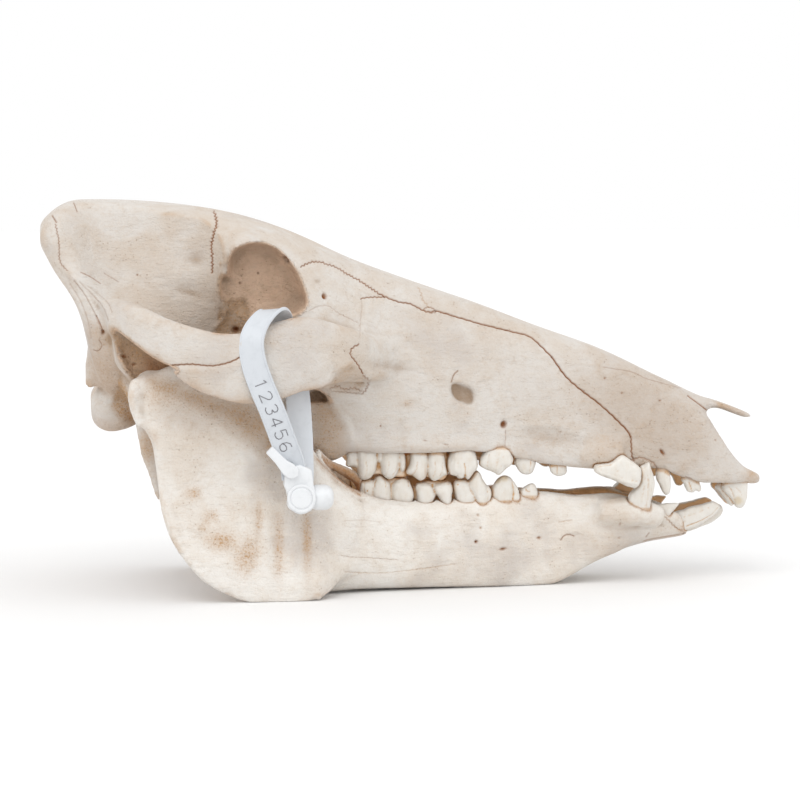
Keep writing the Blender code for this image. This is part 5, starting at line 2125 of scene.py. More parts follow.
    def upright(self, side: int) -> bpy.types.Object:
        """Plate behind the teeth, bowed outwards at its foot.

        Args:
            side: sign of the side.

        Returns:
            The new object.
        """
        rings = []
        levels = self.plate_levels
        heights = (0, self.waist_height, 1)
        for row in resampled(self.plate, self.plate_step):
            x, bottom, top = row[:3]
            foot, foot_half, waist, waist_half, head, head_half = row[3:]
            outer, inner = [], []
            for i in range(levels + 1):
                share = i / levels
                z = bottom + (top - bottom) * share
                middle = curve_through(heights, [foot, waist, head], share)
                half = curve_through(heights, [foot_half, waist_half, head_half], share)
                close = min(share, 1 - share) * levels
                half *= min(1.0, self.edge_share + self.edge_growth * close)
                outer.append(Vector((x, side * (middle + half), z)))
                inner.append(Vector((x, side * (middle - half), z)))
            rings.append(outer + inner[::-1])
        return loft("jaw_plate", rings)

    def shape(self) -> bpy.types.Object:
        """Fuses the masses, cuts the trough and the hollows, adds the bars and smooths the whole.

        Returns:
            The bone, still plain.
        """
        pieces = [flat_loft("chin", self.chin)]
        for side in Side:
            sign = side.value
            pieces += [
                self.half(sign),
                self.upright(sign),
                limb("jaw_condyle", self.condyle, sign, (0, 0, 1)),
                limb("lower_canine_socket", self.canine_socket, sign),
            ]
        made = fused(joined("mandible_bone", pieces), self.coarse_grain)
        hollows = [hollow.build(self.viewpoint, side) for hollow in MANDIBLE_HOLLOWS for side in Side]
        carved(made, [flat_loft("trough", self.tongue_trough), joined("burrows", hollows)])
        bars = [bar.build(self.viewpoint, side) for bar in MANDIBLE_BARS for side in Side]
        made = fused(joined("mandible_bone", [made, *bars]), self.grain)
        return smoothed(made, self.smoothing)

    def build(self, teeth: Sequence[bpy.types.Object]) -> bpy.types.Object:
        """Models and dresses the lower jaw around its teeth.

        Args:
            teeth: the lower teeth, which the bone stands back from.

        Returns:
            The piece.
        """
        made = self.shape()
        finish_bone(made, self.viewpoint, MANDIBLE_FORMS, MANDIBLE_MARKS, teeth, self.inside)
        self.level(made)
        dressed(made, self.finish, Slot.BONE, ["mandible"])
        return made

    def level(self, piece: bpy.types.Object) -> None:
        """Presses flat what would reach through the floor."""
        for vertex in piece.data.vertices:
            vertex.co.z = max(vertex.co.z, 0.0)

    def inside(self, relief: Relief) -> np.ndarray:
        """Share of each vertex that faces the midline, which the finish tints brown, partly as the bone's own
        staining and partly as painted shade.

        Args:
            relief: the piece's vertices.

        Returns:
            One share per vertex.
        """
        inward = -relief.normals[:, 1] * np.sign(relief.points[:, 1])
        beside_teeth = np.clip((relief.points[:, 0] / MM + 32) / 24, 0.3, 1)
        return np.clip(inward * 1.4 - 0.1, 0, 1) * beside_teeth


# Teeth

@dataclass(frozen=True)
class Tooth:
    """One tooth, fused from its lobes."""

    name: str
    lobes: tuple[Puff, ...]
    neck: tuple[Place, ...]
    grooves: tuple[Mark, ...] = ()
    worn: tuple[Place, ...] = ()
    grain: float = 0.36
    smoothing: int = 3
    far_height: float = 1.0
    far_drop: float = 0.0
    slanted: bool = False
    neck_height: float = 0.7
    worn_radius: float = 4.2

    @property
    def up(self) -> int:
        """Sign of the direction from the neck to the crown's edge."""
        return 1 if self.name.startswith("lower") else -1

    def neck_line(self, viewpoint: Viewpoint) -> tuple[np.ndarray, np.ndarray]:
        """Rising x places and heights of the neck on the cheek side, in millimetres.

        Args:
            viewpoint: the photograph's camera.

        Returns:
            The x places and the heights.
        """
        width = max(lobe.outer for lobe in self.lobes) - 2
        points = sorted((p.x, p.z) for p in (viewpoint.at_width(place, width) for place in self.neck))
        return np.array([p[0] for p in points]), np.array([p[1] for p in points])

    def shape(self, viewpoint: Viewpoint, side: Side) -> bpy.types.Object:
        """Models the tooth on one side.

        Args:
            viewpoint: the photograph's camera.
            side: side of the animal.

        Returns:
            The new object.
        """
        name = f"{self.name}_{side.name.lower()}_crown"
        made = joined(name, [lobe.build(viewpoint, side) for lobe in self.lobes])
        smoothed(fused(made, self.grain), self.smoothing)
        if side is Side.LEFT:
            xs, zs = self.neck_line(viewpoint)
            for vertex in made.data.vertices:
                foot = float(np.interp(vertex.co.x / MM, xs, zs)) * MM
                if (vertex.co.z - foot) * self.up > 0:
                    vertex.co.z = foot + (vertex.co.z - foot) * self.far_height
                vertex.co.z -= self.far_drop * MM
        relief = Relief(made, viewpoint)
        relief.mark(self.grooves)
        relief.push += [lumps(point) for point in relief.points]
        relief.settle()
        relief.keep("line", relief.channels["line"])
        smooth_shaded(made)
        return made

    def finish(self, made: bpy.types.Object, viewpoint: Viewpoint, contact: np.ndarray) -> None:
        """Stores what the enamel reads: neck, furrows, contacts and worn spots.

        Args:
            made: the tooth on one side.
            viewpoint: the photograph's camera.
            contact: how near each vertex is to the next teeth.
        """
        relief = Relief(made, viewpoint)
        points = relief.points / MM
        xs, zs = self.neck_line(viewpoint)
        if self.slanted:
            neck = np.zeros(len(points))
        else:
            rise = (points[:, 2] - np.interp(points[:, 0], xs, zs)) * self.up
            neck = np.clip(1 - rise / self.neck_height, 0, 1)
        # Inward faces, and in molars the cores behind the lobes, get the brown inner tint as painted shade.
        inner = -relief.normals[:, 1] * np.sign(points[:, 1]) * 1.8 - 0.5
        if "molar" in self.name:
            lead = max(lobe.outer for lobe in self.lobes) - 3.2 - relief.width
            inner = np.maximum(inner, np.clip(lead / 3, 0, 0.9))
        relief.keep("inner", inner)
        relief.keep("neck", neck)
        relief.keep("contact", contact)
        relief.keep("crease", Hollowness(7, 0.02, 0.14).of(relief))
        worn = np.zeros(len(points))
        for spot in self.worn:
            lead = (relief.places - np.array(spot)) / self.worn_radius
            worn = np.maximum(worn, np.exp(-np.sum(lead**2, axis=1) ** 2))
        relief.keep("tip", worn * (relief.facing > 0))


def lumps(point: np.ndarray) -> float:
    """Small unevenness of enamel at a place, in millimetres."""
    spot = Vector(point) / MM
    return noise.noise(spot * 0.42) * 0.2 + noise.noise(spot * 1.1) * 0.07


TEETH = (
    Tooth(
        "upper_molar_2",
        (
            Puff((
                (346, 451), (352, 444), (358, 446), (360, 458), (359, 470), (355.5, 466.8), (350.6, 467),
                (346, 465.5), (346.6, 458),
            ), 23.6, 15),
            Puff((
                (356.5, 447), (362.5, 443), (370, 443), (376.5, 449), (376.8, 463), (375.3, 470),
                (371.2, 476.4), (366.9, 479.4), (362.5, 479.7), (359.2, 477.6), (357.3, 473), (356.7, 465),
            ), 25.4, 15),
            Puff((
                (376.5, 449), (380, 446), (381.8, 453), (381.6, 459), (380.2, 462), (377.6, 461.5),
            ), 24.2, 17),
            Puff((
                (381, 449), (386, 443), (395, 443), (399.4, 452), (398.8, 465), (397.8, 471), (395, 476.3),
                (390, 479), (385.6, 478), (381.8, 473.6), (379.8, 467), (379.4, 460),
            ), 25.2, 15),
            Puff((
                (398, 448), (402.5, 448), (405, 457), (405.3, 464), (404.4, 470), (401.8, 471.8),
                (399.3, 469.3), (398.2, 462),
            ), 24.0, 15),
            Puff((
                (349, 446), (403, 445), (407, 458), (407.6, 466), (405, 477), (390, 475.4), (377, 474),
                (365, 474.8), (355, 471), (349, 464),
            ), 21.6, 11.8, 4.0),
        ),
        ((347.5, 453.1), (353.8, 451.5), (362.5, 449.8), (376.3, 449), (390, 449), (401.3, 451), (406, 455)),
        (
            Patch((378.6, 467), (1.8, 5), 0.1, dark=0.6),
            Patch((357.6, 470), (1.2, 5), 0.1, dark=0.4),
            Line(((385, 476), (388, 470), (389, 462)), 0.7, 0.14, 0.14, 0.6),
            Line(((365, 477), (367, 470), (366, 462)), 0.7, 0.14, 0.12, 0.6),
            Line(((393, 475), (396.6, 470), (398.4, 463)), 0.6, 0.14, 0.35, 0.4),
        ),
    ),
    Tooth(
        "upper_molar_1",
        (
            Puff((
                (410.5, 449), (418, 446), (425.5, 449), (427.5, 461), (426.8, 470), (425.4, 476.2),
                (422.3, 479.8), (418.8, 480.2), (415, 477.6), (411.9, 475), (406.5, 473.8), (405.4, 470.4),
                (408.4, 465), (409.8, 458),
            ), 25.3, 15),
            Puff((
                (427.5, 452), (432, 446), (440, 447), (443.8, 455), (445, 464), (446.4, 471.5),
                (446.7, 474.4), (443.2, 475.6), (440, 478), (435.6, 480.4), (431.9, 480), (428.8, 476.3),
                (426.9, 470), (426.3, 461),
            ), 25.1, 15),
            Puff((
                (405, 450), (443, 448), (447.6, 458), (448.4, 470), (443, 479.4), (436, 479.4), (426, 476),
                (410, 475), (403.5, 473), (404.5, 462),
            ), 21.4, 12.6, 4.0),
        ),
        ((407.5, 455), (415, 453.1), (428.8, 454.8), (436.3, 453.5), (446.3, 455.6)),
        (
            Patch((425.6, 472), (1.2, 6), 0.1, dark=0.5),
            Line(((412, 475.5), (416, 470), (417.6, 462)), 0.7, 0.16, 0.16, 0.5),
            Line(((433, 478), (435.6, 471), (435, 462)), 0.7, 0.14, 0.14, 0.5),
            Line(((440, 476), (442.5, 470), (443, 463)), 0.6, 0.14, 0.2, 0.4),
        ),
    ),
    Tooth(
        "upper_premolar_4",
        (
            Puff((
                (447, 461), (448.8, 455), (452.5, 448), (460, 445), (468, 444), (473.5, 449), (476.2, 456),
                (477.4, 462.5), (476.9, 468), (473.3, 472.6), (470.8, 476.2), (468.2, 479), (466.2, 479),
                (465, 475.8), (461.9, 478.2), (458.2, 478.2), (455.6, 475.7), (451.4, 475.1), (448.2, 472),
                (446.8, 467.5),
            ), 25.2, 15),
            Puff((
                (450, 449), (472, 448), (474, 460), (470, 471), (462, 474), (452, 472), (446.5, 462),
            ), 21.4, 13.6, 4.0),
        ),
        ((446.3, 455.6), (450, 452.5), (460, 450.3), (470, 448.5), (477.5, 451.5)),
        (
            Line(((457, 460), (458, 467), (457.4, 478)), 1.4, 0.1, 0.0),
            Line(((464.5, 464), (465.4, 470), (465, 477)), 1.0, 0.26, 0.06),
            Line(((451.5, 466), (452.6, 471), (453.5, 476)), 1.2, 0.1, 0.0),
        ),
    ),
    Tooth(
        "upper_premolar_3",
        (
            Puff((
                (478.8, 462.5), (480.6, 457), (483.8, 452), (488.8, 446), (495, 443.5), (502.5, 444),
                (508.8, 449), (512.3, 456), (512.6, 462), (510, 465.7), (506.2, 467.6), (502.6, 471.4),
                (500.2, 474.5), (498, 475.2), (495, 472.9), (488.8, 470.2), (483.8, 468.3), (480, 465.8),
            ), 24.8, 16.5),
            Puff(((483, 452), (508, 452), (509, 461), (500, 469), (488, 466), (481.5, 461)), 19.5, 15.3, 4.0),
        ),
        ((477.5, 451.5), (487.5, 449), (500, 448.1), (508.8, 449), (515, 454.8)),
        (
            Line(((501.5, 453), (499.5, 463), (497.8, 473)), 1.5, -0.3, 0.0),
            Line(((489, 455), (487.5, 462), (487, 469)), 1.2, 0.22, 0.0),
        ),
    ),
    Tooth(
        "upper_premolar_2",
        (
            Puff((
                (514.2, 461), (516, 456), (519, 450), (527, 449), (533.5, 451), (535.6, 459), (535, 466),
                (532.5, 471.4), (529.4, 473.8), (526.3, 474.7), (523.1, 474), (518.8, 470.7), (516.3, 467),
                (514.4, 463.8),
            ), 20.6, 14.6),
        ),
        ((515, 454.8), (527.5, 455), (536.3, 456)),
        (Line(((530.5, 460), (530.5, 466), (529.6, 472)), 0.8, 0.2, 0.1),),
    ),
    Tooth(
        "upper_premolar_1",
        (
            Puff((
                (549.2, 468), (549.4, 464), (553, 460.5), (558.5, 459.5), (564, 461.5), (566.4, 466),
                (566.6, 471.4), (564, 474.8), (559.5, 476), (555, 475), (551, 472),
            ), 19.1, 14.9),
        ),
        ((550.5, 466.2), (557, 465), (567, 466.6)),
        (Line(((557.2, 467), (557.2, 474)), 0.7, 0.2, 0.2),),
    ),
    Tooth(
        "lower_molar_2",
        (
            Puff((
                (359.4, 486), (360.4, 480), (365, 478.6), (371, 479), (376, 484), (376, 500), (371, 506),
                (364, 503.5), (359.8, 498),
            ), 23.0, 14),
            Puff((
                (370, 484), (373.8, 478.8), (378, 475), (382, 475.8), (386.4, 478.9), (389.6, 483.2),
                (390.4, 489), (390.6, 496), (389.5, 505), (382, 508.5), (375, 507), (371, 500),
                (369.6, 492),
            ), 23.6, 14),
            Puff((
                (391.6, 484), (395, 480), (400, 477.8), (405, 478), (409.6, 481.2), (411.4, 486.4),
                (413.7, 492.5), (412.8, 500), (410.5, 508), (404, 510), (396, 508), (391.8, 502),
                (390.6, 494), (390.6, 489),
            ), 23.4, 14),
            Puff((
                (363, 486), (370, 480), (380, 476.6), (392, 476.6), (404, 477), (410, 484), (410, 500),
                (400, 505), (376, 504), (364, 498),
            ), 20.4, 12.4, 4.0),
        ),
        (
            (360, 495), (365, 496.9), (370.6, 498.8), (377.5, 501.9), (387.5, 502.5), (396.3, 503.5),
            (410, 504.4),
        ),
        (
            Line(((364.5, 483), (364, 490), (365.5, 496)), 0.7, 0.25, 0.15),
            Line(((376, 480), (374.5, 484), (375, 487)), 0.6, 0.25, 0.35),
            Line(((384.5, 479), (386, 484), (385.5, 487)), 0.5, 0.15, 0.2),
            Patch((367.2, 491), (0.9, 0.9), 0.35, dark=0.6),
            Line(((408.4, 480), (408.8, 486)), 0.6, 0.2, 0.35),
        ),
    ),
    Tooth(
        "lower_molar_1",
        (
            Puff((
                (415.2, 488), (416.4, 483.6), (420.6, 482), (426.3, 482.3), (430.8, 484.8), (433.4, 490),
                (435, 495.2), (433, 499.4), (430.2, 506), (425, 510), (419, 509), (416.8, 501), (416, 494),
            ), 23.3, 14),
            Puff((
                (432.8, 486), (435.8, 483.4), (441.3, 482), (447.5, 481.3), (451.2, 483.4), (452.2, 490),
                (451.5, 498), (450.4, 505), (450.6, 513), (446.5, 513), (443.8, 506), (440, 500),
                (437, 495.5), (434, 491),
            ), 23.1, 14),
            Puff((
                (418, 485), (426, 480), (440, 479.6), (449, 482), (450, 495), (446, 503), (438, 492.5),
                (429, 503), (413, 500), (412, 488),
            ), 20.2, 13.0, 4.0),
        ),
        ((417.5, 503.1), (427.5, 503.8), (435, 500.5), (442.5, 503.8), (447.8, 507.6), (451.3, 504.5)),
        (
            Patch((432.4, 484.6), (0.9, 0.9), 0.3, dark=0.7),
            Line(((447, 484), (449.3, 483.8)), 0.6, 0.15, 0.4),
        ),
    ),
    Tooth(
        "lower_premolar_4",
        (
            Puff((
                (453.2, 485), (454.6, 481.4), (459, 478.8), (464, 478.8), (467.8, 481), (470, 487),
                (472.5, 492), (476, 497.5), (474.5, 505), (466, 509), (460, 507), (456, 499), (453.8, 491),
            ), 22.4, 14.6),
            Puff((
                (467.8, 482), (470, 477.4), (473.1, 473), (475.8, 470.5), (478.3, 471.2), (480.4, 474),
                (482.6, 479), (485.6, 484.4), (486.4, 490), (487.6, 496), (487, 504), (482.5, 509),
                (477.5, 506), (474.6, 499), (470.8, 492), (468.4, 487),
            ), 23.1, 14.6),
            Puff((
                (485.4, 485), (488.6, 486.4), (490.8, 490), (490.8, 495), (489.4, 501), (486.3, 505),
                (484.6, 497),
            ), 21.6, 15.5),
            Puff((
                (456, 483), (468, 481), (476, 478), (484, 486), (487, 494), (484, 503), (462, 503),
                (452, 492),
            ), 20.2, 14.3, 4.0),
        ),
        ((451.3, 503.6), (458.8, 503.4), (465, 503.6), (477.5, 502.6), (483.8, 503), (490, 501.8)),
        (Patch((457.6, 484.6), (0.9, 0.9), 0.3, dark=0.6),),
        far_height=0.8,
    ),
    Tooth(
        "lower_premolar_3",
        (
            Puff((
                (491.3, 489), (493.8, 484), (497.5, 479), (501.6, 475.8), (506.8, 475.7), (510.6, 478),
                (513, 482), (514, 490), (513, 498), (510, 507), (498, 508.5), (492.6, 500), (491, 493.5),
            ), 20.8, 14.0),
            Puff((
                (511.6, 480.5), (516.4, 485), (518.8, 491), (519.4, 496.5), (518, 503), (512, 505),
                (510, 494),
            ), 19.8, 14.6),
        ),
        ((490, 501.6), (502.5, 500.8), (520, 500.2)),
        (Line(((512.4, 481), (513.6, 490), (513, 499)), 0.8, 0.2, 0.05),),
        ((497.5, 479.5), (504, 477.6)),
        far_height=0.36,
        far_drop=1.4,
    ),
    Tooth(
        "lower_premolar_2",
        (
            Puff((
                (519.8, 491.5), (522.3, 488.3), (526.3, 485.5), (531.2, 483), (535, 484.8), (537, 490),
                (537.3, 495), (536, 504), (528, 506.5), (521.5, 504), (519.8, 495),
            ), 18.1, 13.6),
        ),
        ((520.5, 496), (528, 495.8), (537, 496)),
        (Line(((525.5, 488.5), (526.6, 491), (529.5, 491.4)), 0.6, 0.25, 0.35),),
        far_height=0.3,
        far_drop=1.8,
    ),
    Tooth(
        "upper_canine",
        (
            Puff((
                (594, 467.5), (597, 464.4), (604, 463.4), (611, 462), (616, 457.5), (622, 454.6),
                (628.5, 458.8), (634.5, 463), (639.2, 466.8), (640.9, 470), (641, 477.5), (639, 483.5),
                (636.9, 486.7), (633.5, 488), (627.5, 486.3), (617.5, 481.9), (605, 476.9), (595.6, 472.7),
            ), 28.2, 20.4, 3.6),
        ),
        ((594, 465), (610, 462), (621, 456.6), (634, 461)),
        (
            Line(((597, 471.5), (610, 476), (624, 481), (636, 483.8)), 1.6, -0.42, 0.0),
            Line(((598, 466.8), (606, 465.4), (611, 464.6)), 0.6, 0.2, 0.3),
        ),
        slanted=True,
        smoothing=2,
    ),
    Tooth(
        "upper_incisor_3",
        (
            Puff((
                (655.6, 474), (657.5, 465), (663, 463), (667.5, 467), (670, 476), (670.4, 486.5),
                (669.6, 492.6), (666.3, 495.2), (663.4, 492.8), (660, 486.3), (657.2, 481),
            ), 16.6, 12.6),
        ),
        ((656, 470.6), (662.5, 470.6), (668, 474.4)),
        (Line(((664.5, 476), (666.5, 486), (667, 493)), 1.0, -0.2, 0.0),),
        far_height=0.5,
    ),
    Tooth(
        "upper_incisor_2",
        (
            Puff((
                (681.2, 479.5), (684, 471), (690, 470), (697, 476), (700, 484), (701.2, 488.6),
                (700.2, 491.2), (697.6, 491.4), (695.6, 489.8), (692.6, 492.4), (687.6, 491.6),
                (685.4, 488), (683.4, 483.5),
            ), 14.2, 10.2),
        ),
        ((680, 479), (686.3, 477.5), (697.5, 483.1)),
        (
            Line(((689, 482), (690.5, 487), (692, 491.5)), 0.6, 0.25, 0.12),
            Line(((686, 481), (688, 489)), 0.8, -0.15, 0.0),
        ),
        smoothing=2,
    ),
    Tooth(
        "upper_incisor_1",
        (
            Puff((
                (721.4, 487.6), (725, 477), (734, 474), (745, 474), (747.6, 485), (747.3, 492), (746, 500),
                (744.4, 505), (740.6, 507.6), (736, 507), (733.5, 502.6), (730, 497.6), (725, 492.6),
            ), 9.8, 4.6),
            Puff((
                (714.6, 486.8), (722, 480), (732, 486), (734, 496), (732.6, 505.6), (729, 504.8),
                (725, 500.2), (720, 494),
            ), 6.6, 1.8),
        ),
        ((714, 486.5), (727.5, 483.1), (735, 481.3), (748, 481.9)),
        (
            Line(((729, 487), (732, 491), (734, 497), (735, 504)), 0.8, 0.2, 0.1),
            Line(((735, 487), (739.5, 491), (741.6, 495)), 0.8, 0.12, 0.0),
        ),
        ((738.3, 500.4),),
    ),
    Tooth(
        "lower_canine",
        (
            Puff((
                (640.2, 467), (643.8, 464.8), (648.2, 462.2), (650.8, 467.5), (653.6, 477.5), (654.5, 485),
                (652.7, 493.8), (650.4, 502), (649, 511.5), (640, 512), (632, 508.5), (627.6, 501),
                (629.6, 494), (634.8, 488.4), (638.6, 483), (640.4, 475),
            ), 23.6, 17.4, 3.2),
        ),
        ((628, 500.5), (633.8, 505), (640, 508.1), (648.1, 508.1)),
        (
            Line(((648.4, 463.5), (649.0, 472), (650.0, 483.8), (649.2, 496), (648.3, 507)), 1.1, -0.5, 0.0),
            Line(((643.8, 466), (645, 478), (643, 494)), 1.6, 0.15, 0.0),
        ),
        smoothing=2,
        far_drop=2.6,
    ),
    Tooth(
        "lower_incisor_3",
        (
            Puff((
                (656.6, 505.4), (662.5, 503.6), (670, 502.9), (678.8, 503.2), (676.3, 507.2),
                (671.9, 512.2), (666, 519), (661.5, 518), (657.5, 510),
            ), 14.6, 11.2, 2.6),
        ),
        ((656, 508), (661, 513), (666, 516.3), (673, 512)),
        slanted=True,
    ),
    Tooth(
        "lower_incisor_2",
        (
            Puff((
                (664, 517), (672.5, 513.4), (676.3, 511), (683.8, 509.6), (687.5, 507.2), (700, 504.8),
                (707.5, 502.3), (714, 501.3), (719.8, 505.4), (717.8, 511.3), (705.4, 521.3), (688, 529.4),
                (681.6, 531), (672, 526),
            ), 9.9, 5.2, 3.0),
        ),
        ((672.5, 514.4), (678, 521), (684, 531.9)),
        (
            Line(((683, 517), (695, 513.6), (708, 508)), 1.4, 0.16, 0.0),
            Line(((687, 526), (700, 521), (711, 515), (717.5, 508)), 0.7, 0.25, 0.15),
        ),
        slanted=True,
    ),
    Tooth(
        "lower_incisor_1",
        (
            Puff((
                (668, 518), (684, 512), (704, 506), (717, 503.4), (722.2, 507.4), (722, 513.4),
                (716.6, 518.9), (707.8, 523.9), (697.8, 527.7), (688.8, 531.4), (682, 530), (672, 524),
            ), 4.9, 0.4, 3.0),
        ),
        ((680, 518), (684, 526), (688.8, 531.3)),
        slanted=True,
    ),
)


@dataclass
class Teeth:
    """All teeth of both jaws."""

    viewpoint: Viewpoint
    enamel: bpy.types.Material

    def build(self) -> dict[str, list[bpy.types.Object]]:
        """Models every tooth on both sides.

        Returns:
            The teeth by jaw.
        """
        jaws: dict[str, list[bpy.types.Object]] = {"upper": [], "lower": []}
        for side in Side:
            made = {tooth.name: tooth.shape(self.viewpoint, side) for tooth in TEETH}
            trees = {name: BVHTree.FromPolygons(*merged_mesh([piece])) for name, piece in made.items()}
            for tooth in TEETH:
                piece = made[tooth.name]
                tooth.finish(piece, self.viewpoint, self.contacts(tooth.name, made, trees))
                dressed(piece, self.enamel, Slot.ENAMEL, [f"{tooth.name}_{side.name.lower()}"])
                jaws[tooth.name.split("_")[0]].append(piece)
        return jaws

    def contacts(
        self, name: str, made: dict[str, bpy.types.Object], trees: dict[str, BVHTree], reach: float = 1.5
    ) -> np.ndarray:
        """How near each vertex of one tooth is to the other teeth of its side.

        Args:
            name: the tooth.
            made: every tooth of the side.
            trees: their surfaces.
            reach: distance in millimetres at which it begins to count.

        Returns:
            A number from 0 to 1 per vertex.
        """
        spots = points_of(made[name])
        nearness = np.zeros(len(spots))
        for other, tree in trees.items():
            if other == name:
                continue
            others = points_of(made[other])
            low, high = others.min(0) - reach * MM, others.max(0) + reach * MM
            for i in np.nonzero(np.all((spots > low) & (spots < high), axis=1))[0]:
                found = tree.find_nearest(Vector(spots[i]), reach * MM)
                if found[3] is not None:
                    nearness[i] = max(nearness[i], 1 - found[3] / (reach * MM))
        return nearness


def points_of(piece: bpy.types.Object) -> np.ndarray:
    """Vertices of a piece as rows of x, y and z in metres."""
    return rows_of(piece.data.vertices, "co")


# Tag

@dataclass
class Tag:
    """Plastic loop seal round the right cheek arch."""

    viewpoint: Viewpoint
    plastic: bpy.types.Material
    body: bpy.types.Material
    ink: bpy.types.Material
    width: float = 9.8
    thickness: float = 1.2
    path: tuple[tuple[Point, Point], ...] = (
        ((-46.4, -57.0, 48.0), (-0.3, -1.0, 0.15)),
        ((-47.2, -58.4, 54.0), (-0.2, -1.0, 0.15)),
        ((-50.3, -61.4, 62.0), (-0.1, -1.0, 0.2)),
        ((-55.2, -64.8, 75.0), (-0.1, -1.0, 0.15)),
        ((-59.4, -66.0, 85.0), (-0.05, -1.0, 0.05)),
        ((-62.4, -66.4, 94.5), (-0.25, -1.0, 0.1)),
        ((-62.8, -65.8, 102.0), (-0.42, -0.9, 0.3)),
        ((-60.2, -63.2, 108.0), (-0.4, -0.62, 0.75)),
        ((-54.9, -57.4, 112.5), (-0.1, 0.0, 1.0)),
        ((-51.6, -51.4, 109.8), (-0.1, 0.6, 0.8)),
        ((-50.2, -47.2, 103.6), (-0.3, 1.0, 0.4)),
        ((-48.2, -45.6, 95.0), (-0.45, 0.9, 0.1)),
        ((-44.8, -45.8, 84.0), (-0.4, 0.9, -0.1)),
        ((-43.7, -49.0, 66.0), (-0.1, 1.0, -0.25)),
        ((-43.6, -53.2, 52.5), (0.0, 1.0, -0.3)),
        ((-43.8, -54.8, 47.0), (0.0, 1.0, -0.3)),
    )
    lock_outline: Rows = (
        (287, 469), (285.2, 477), (284.0, 485.6), (286.6, 492), (288.3, 499), (287.4, 507.6), (291.6, 510.6),
        (296, 513.6), (300.8, 514.8), (306, 513.8), (311, 511), (315, 506.5), (316.8, 500), (316.4, 493),
        (314, 486.5), (313, 478), (312, 470), (300, 465),
    )
    lock_widths: Place = (60.4, 52.6)
    tail_outline: Rows = (
        (266, 453.3), (272.4, 446.6), (280, 454), (287.5, 461), (294.5, 464.8), (299, 470), (298.4, 476),
        (293.6, 479), (287.4, 478.4), (282.6, 473.6), (275, 463),
    )
    tail_widths: Place = (62.8, 59.6)
    button_place: Place = (301.3, 498.3)
    button_width: float = 60.6
    button_radius: float = 5.4
    catch_place: Place = (321.0, 497.3)
    catch_width: float = 55.6
    catch_radius: float = 4.9
    catch_length: float = 9.6
    digits_from: float = 41.0
    digit_step: float = 5.3
    digit_half_width: float = 1.8
    digit_half_height: float = 2.3
    pen: float = 0.2
    ink_thickness: float = 0.03
    strap_rings: int = 150
    band: Rows = (
        (1.0, 0.0), (0.985, 0.9), (0.94, 1.35), (0.88, 1.35), (0.82, 0.82), (-0.82, 0.82), (-0.88, 1.35),
        (-0.94, 1.35), (-0.985, 0.9), (-1.0, 0.0), (-0.985, -0.7), (-0.93, -0.95), (0.93, -0.95),
        (0.985, -0.7),
    )
    ring_groove: Rows = ((0.17, 0.0), (0.04, -0.35), (0.05, 0.0), (0.04, 0.4))
    lock_rounding: float = 0.9
    tail_rounding: float = 0.5
    button_height: float = 2.0
    button_rim: float = 0.16
    catch_rim: float = 3.6

    def __post_init__(self) -> None:
        """Measures the strap's path."""
        self.centres = [Vector(centre) for centre, _ in self.path]
        self.facings = [Vector(facing).normalized() for _, facing in self.path]
        self.knots = [0.0]
        for start, end in zip(self.centres, self.centres[1:]):
            self.knots.append(self.knots[-1] + (end - start).length)

    def at(self, along: float) -> tuple[Vector, Vector, Vector, Vector]:
        """Centre, run, across and outward directions at a length along the strap.

        Args:
            along: the length in millimetres.

        Returns:
            The centre and the three directions.
        """
        centre = curve_through(self.knots, self.centres, along)
        ahead = curve_through(self.knots, self.centres, min(along + 1, self.knots[-1]))
        behind = curve_through(self.knots, self.centres, max(along - 1, 0))
        run = (ahead - behind).normalized()
        across = run.cross(curve_through(self.knots, self.facings, along)).normalized()
        return centre, run, across, across.cross(run).normalized()

    def strap(self) -> bpy.types.Object:
        """The band, with rounded edges and a low rim along each.

        Returns:
            The new object.
        """
        rings = []
        half, thick = self.width / 2, self.thickness / 2
        for i in range(self.strap_rings + 1):
            centre, _, across, out = self.at(self.knots[-1] * i / self.strap_rings)
            rings.append([centre + across * (a * half) + out * (b * thick) for a, b in self.band])
        made = loft("tag_strap", rings)
        smooth_shaded(made, 45)
        return made

    def slab(self, name: str, outline: Sequence[Place], widths: Place, round_by: float) -> bpy.types.Object:
        """Flat moulding with rounded edges, with its outline as the picture shows it.

        Args:
            name: its name.
            outline: its corners in the picture.
            widths: distances of its two faces from the midline.
            round_by: width of its rounded edges.

        Returns:
            The new object.
        """
        ring = [self.viewpoint.at_width(place, widths[0]) for place in outline]
        rings = [[Vector((p.x, -width, p.z)) for p in ring] for width in widths]
        made = loft(name, rings)
        bevelled(made, round_by, 4, 50)
        smooth_shaded(made, 50)
        return made

    def drum(self, name: str, centre: Vector, sizes: Place, axis: Point, rim: float) -> bpy.types.Object:
        """Round part with a rounded rim; a narrow rim leaves room for a ring groove in the outer face.

        Args:
            name: its name.
            centre: its middle.
            sizes: its radius and its length.
            axis: direction that its outer face looks.
            rim: width of its rounded rim.

        Returns:
            The new object.
        """
        radius, length = sizes
        made = added(name, "cylinder", vertices=64, radius=radius * MM, depth=length * MM)
        bpy.ops.object.mode_set(mode="EDIT")
        shape = bmesh.from_edit_mesh(made.data)
        for face in shape.faces:
            face.select = face.normal.z > 0.9
        bmesh.update_edit_mesh(made.data)
        if rim < 1:
            for share, rise in self.ring_groove:
                bpy.ops.mesh.inset(thickness=radius * share * MM, depth=rise * MM)
        bpy.ops.object.mode_set(mode="OBJECT")
        bevelled(made, rim, 8, 30)
        turn = UPWARDS.rotation_difference(Vector(axis)).to_matrix().to_4x4()
        placed(made, Matrix.Translation(centre * MM) @ turn)
        smooth_shaded(made, 40)
        return made

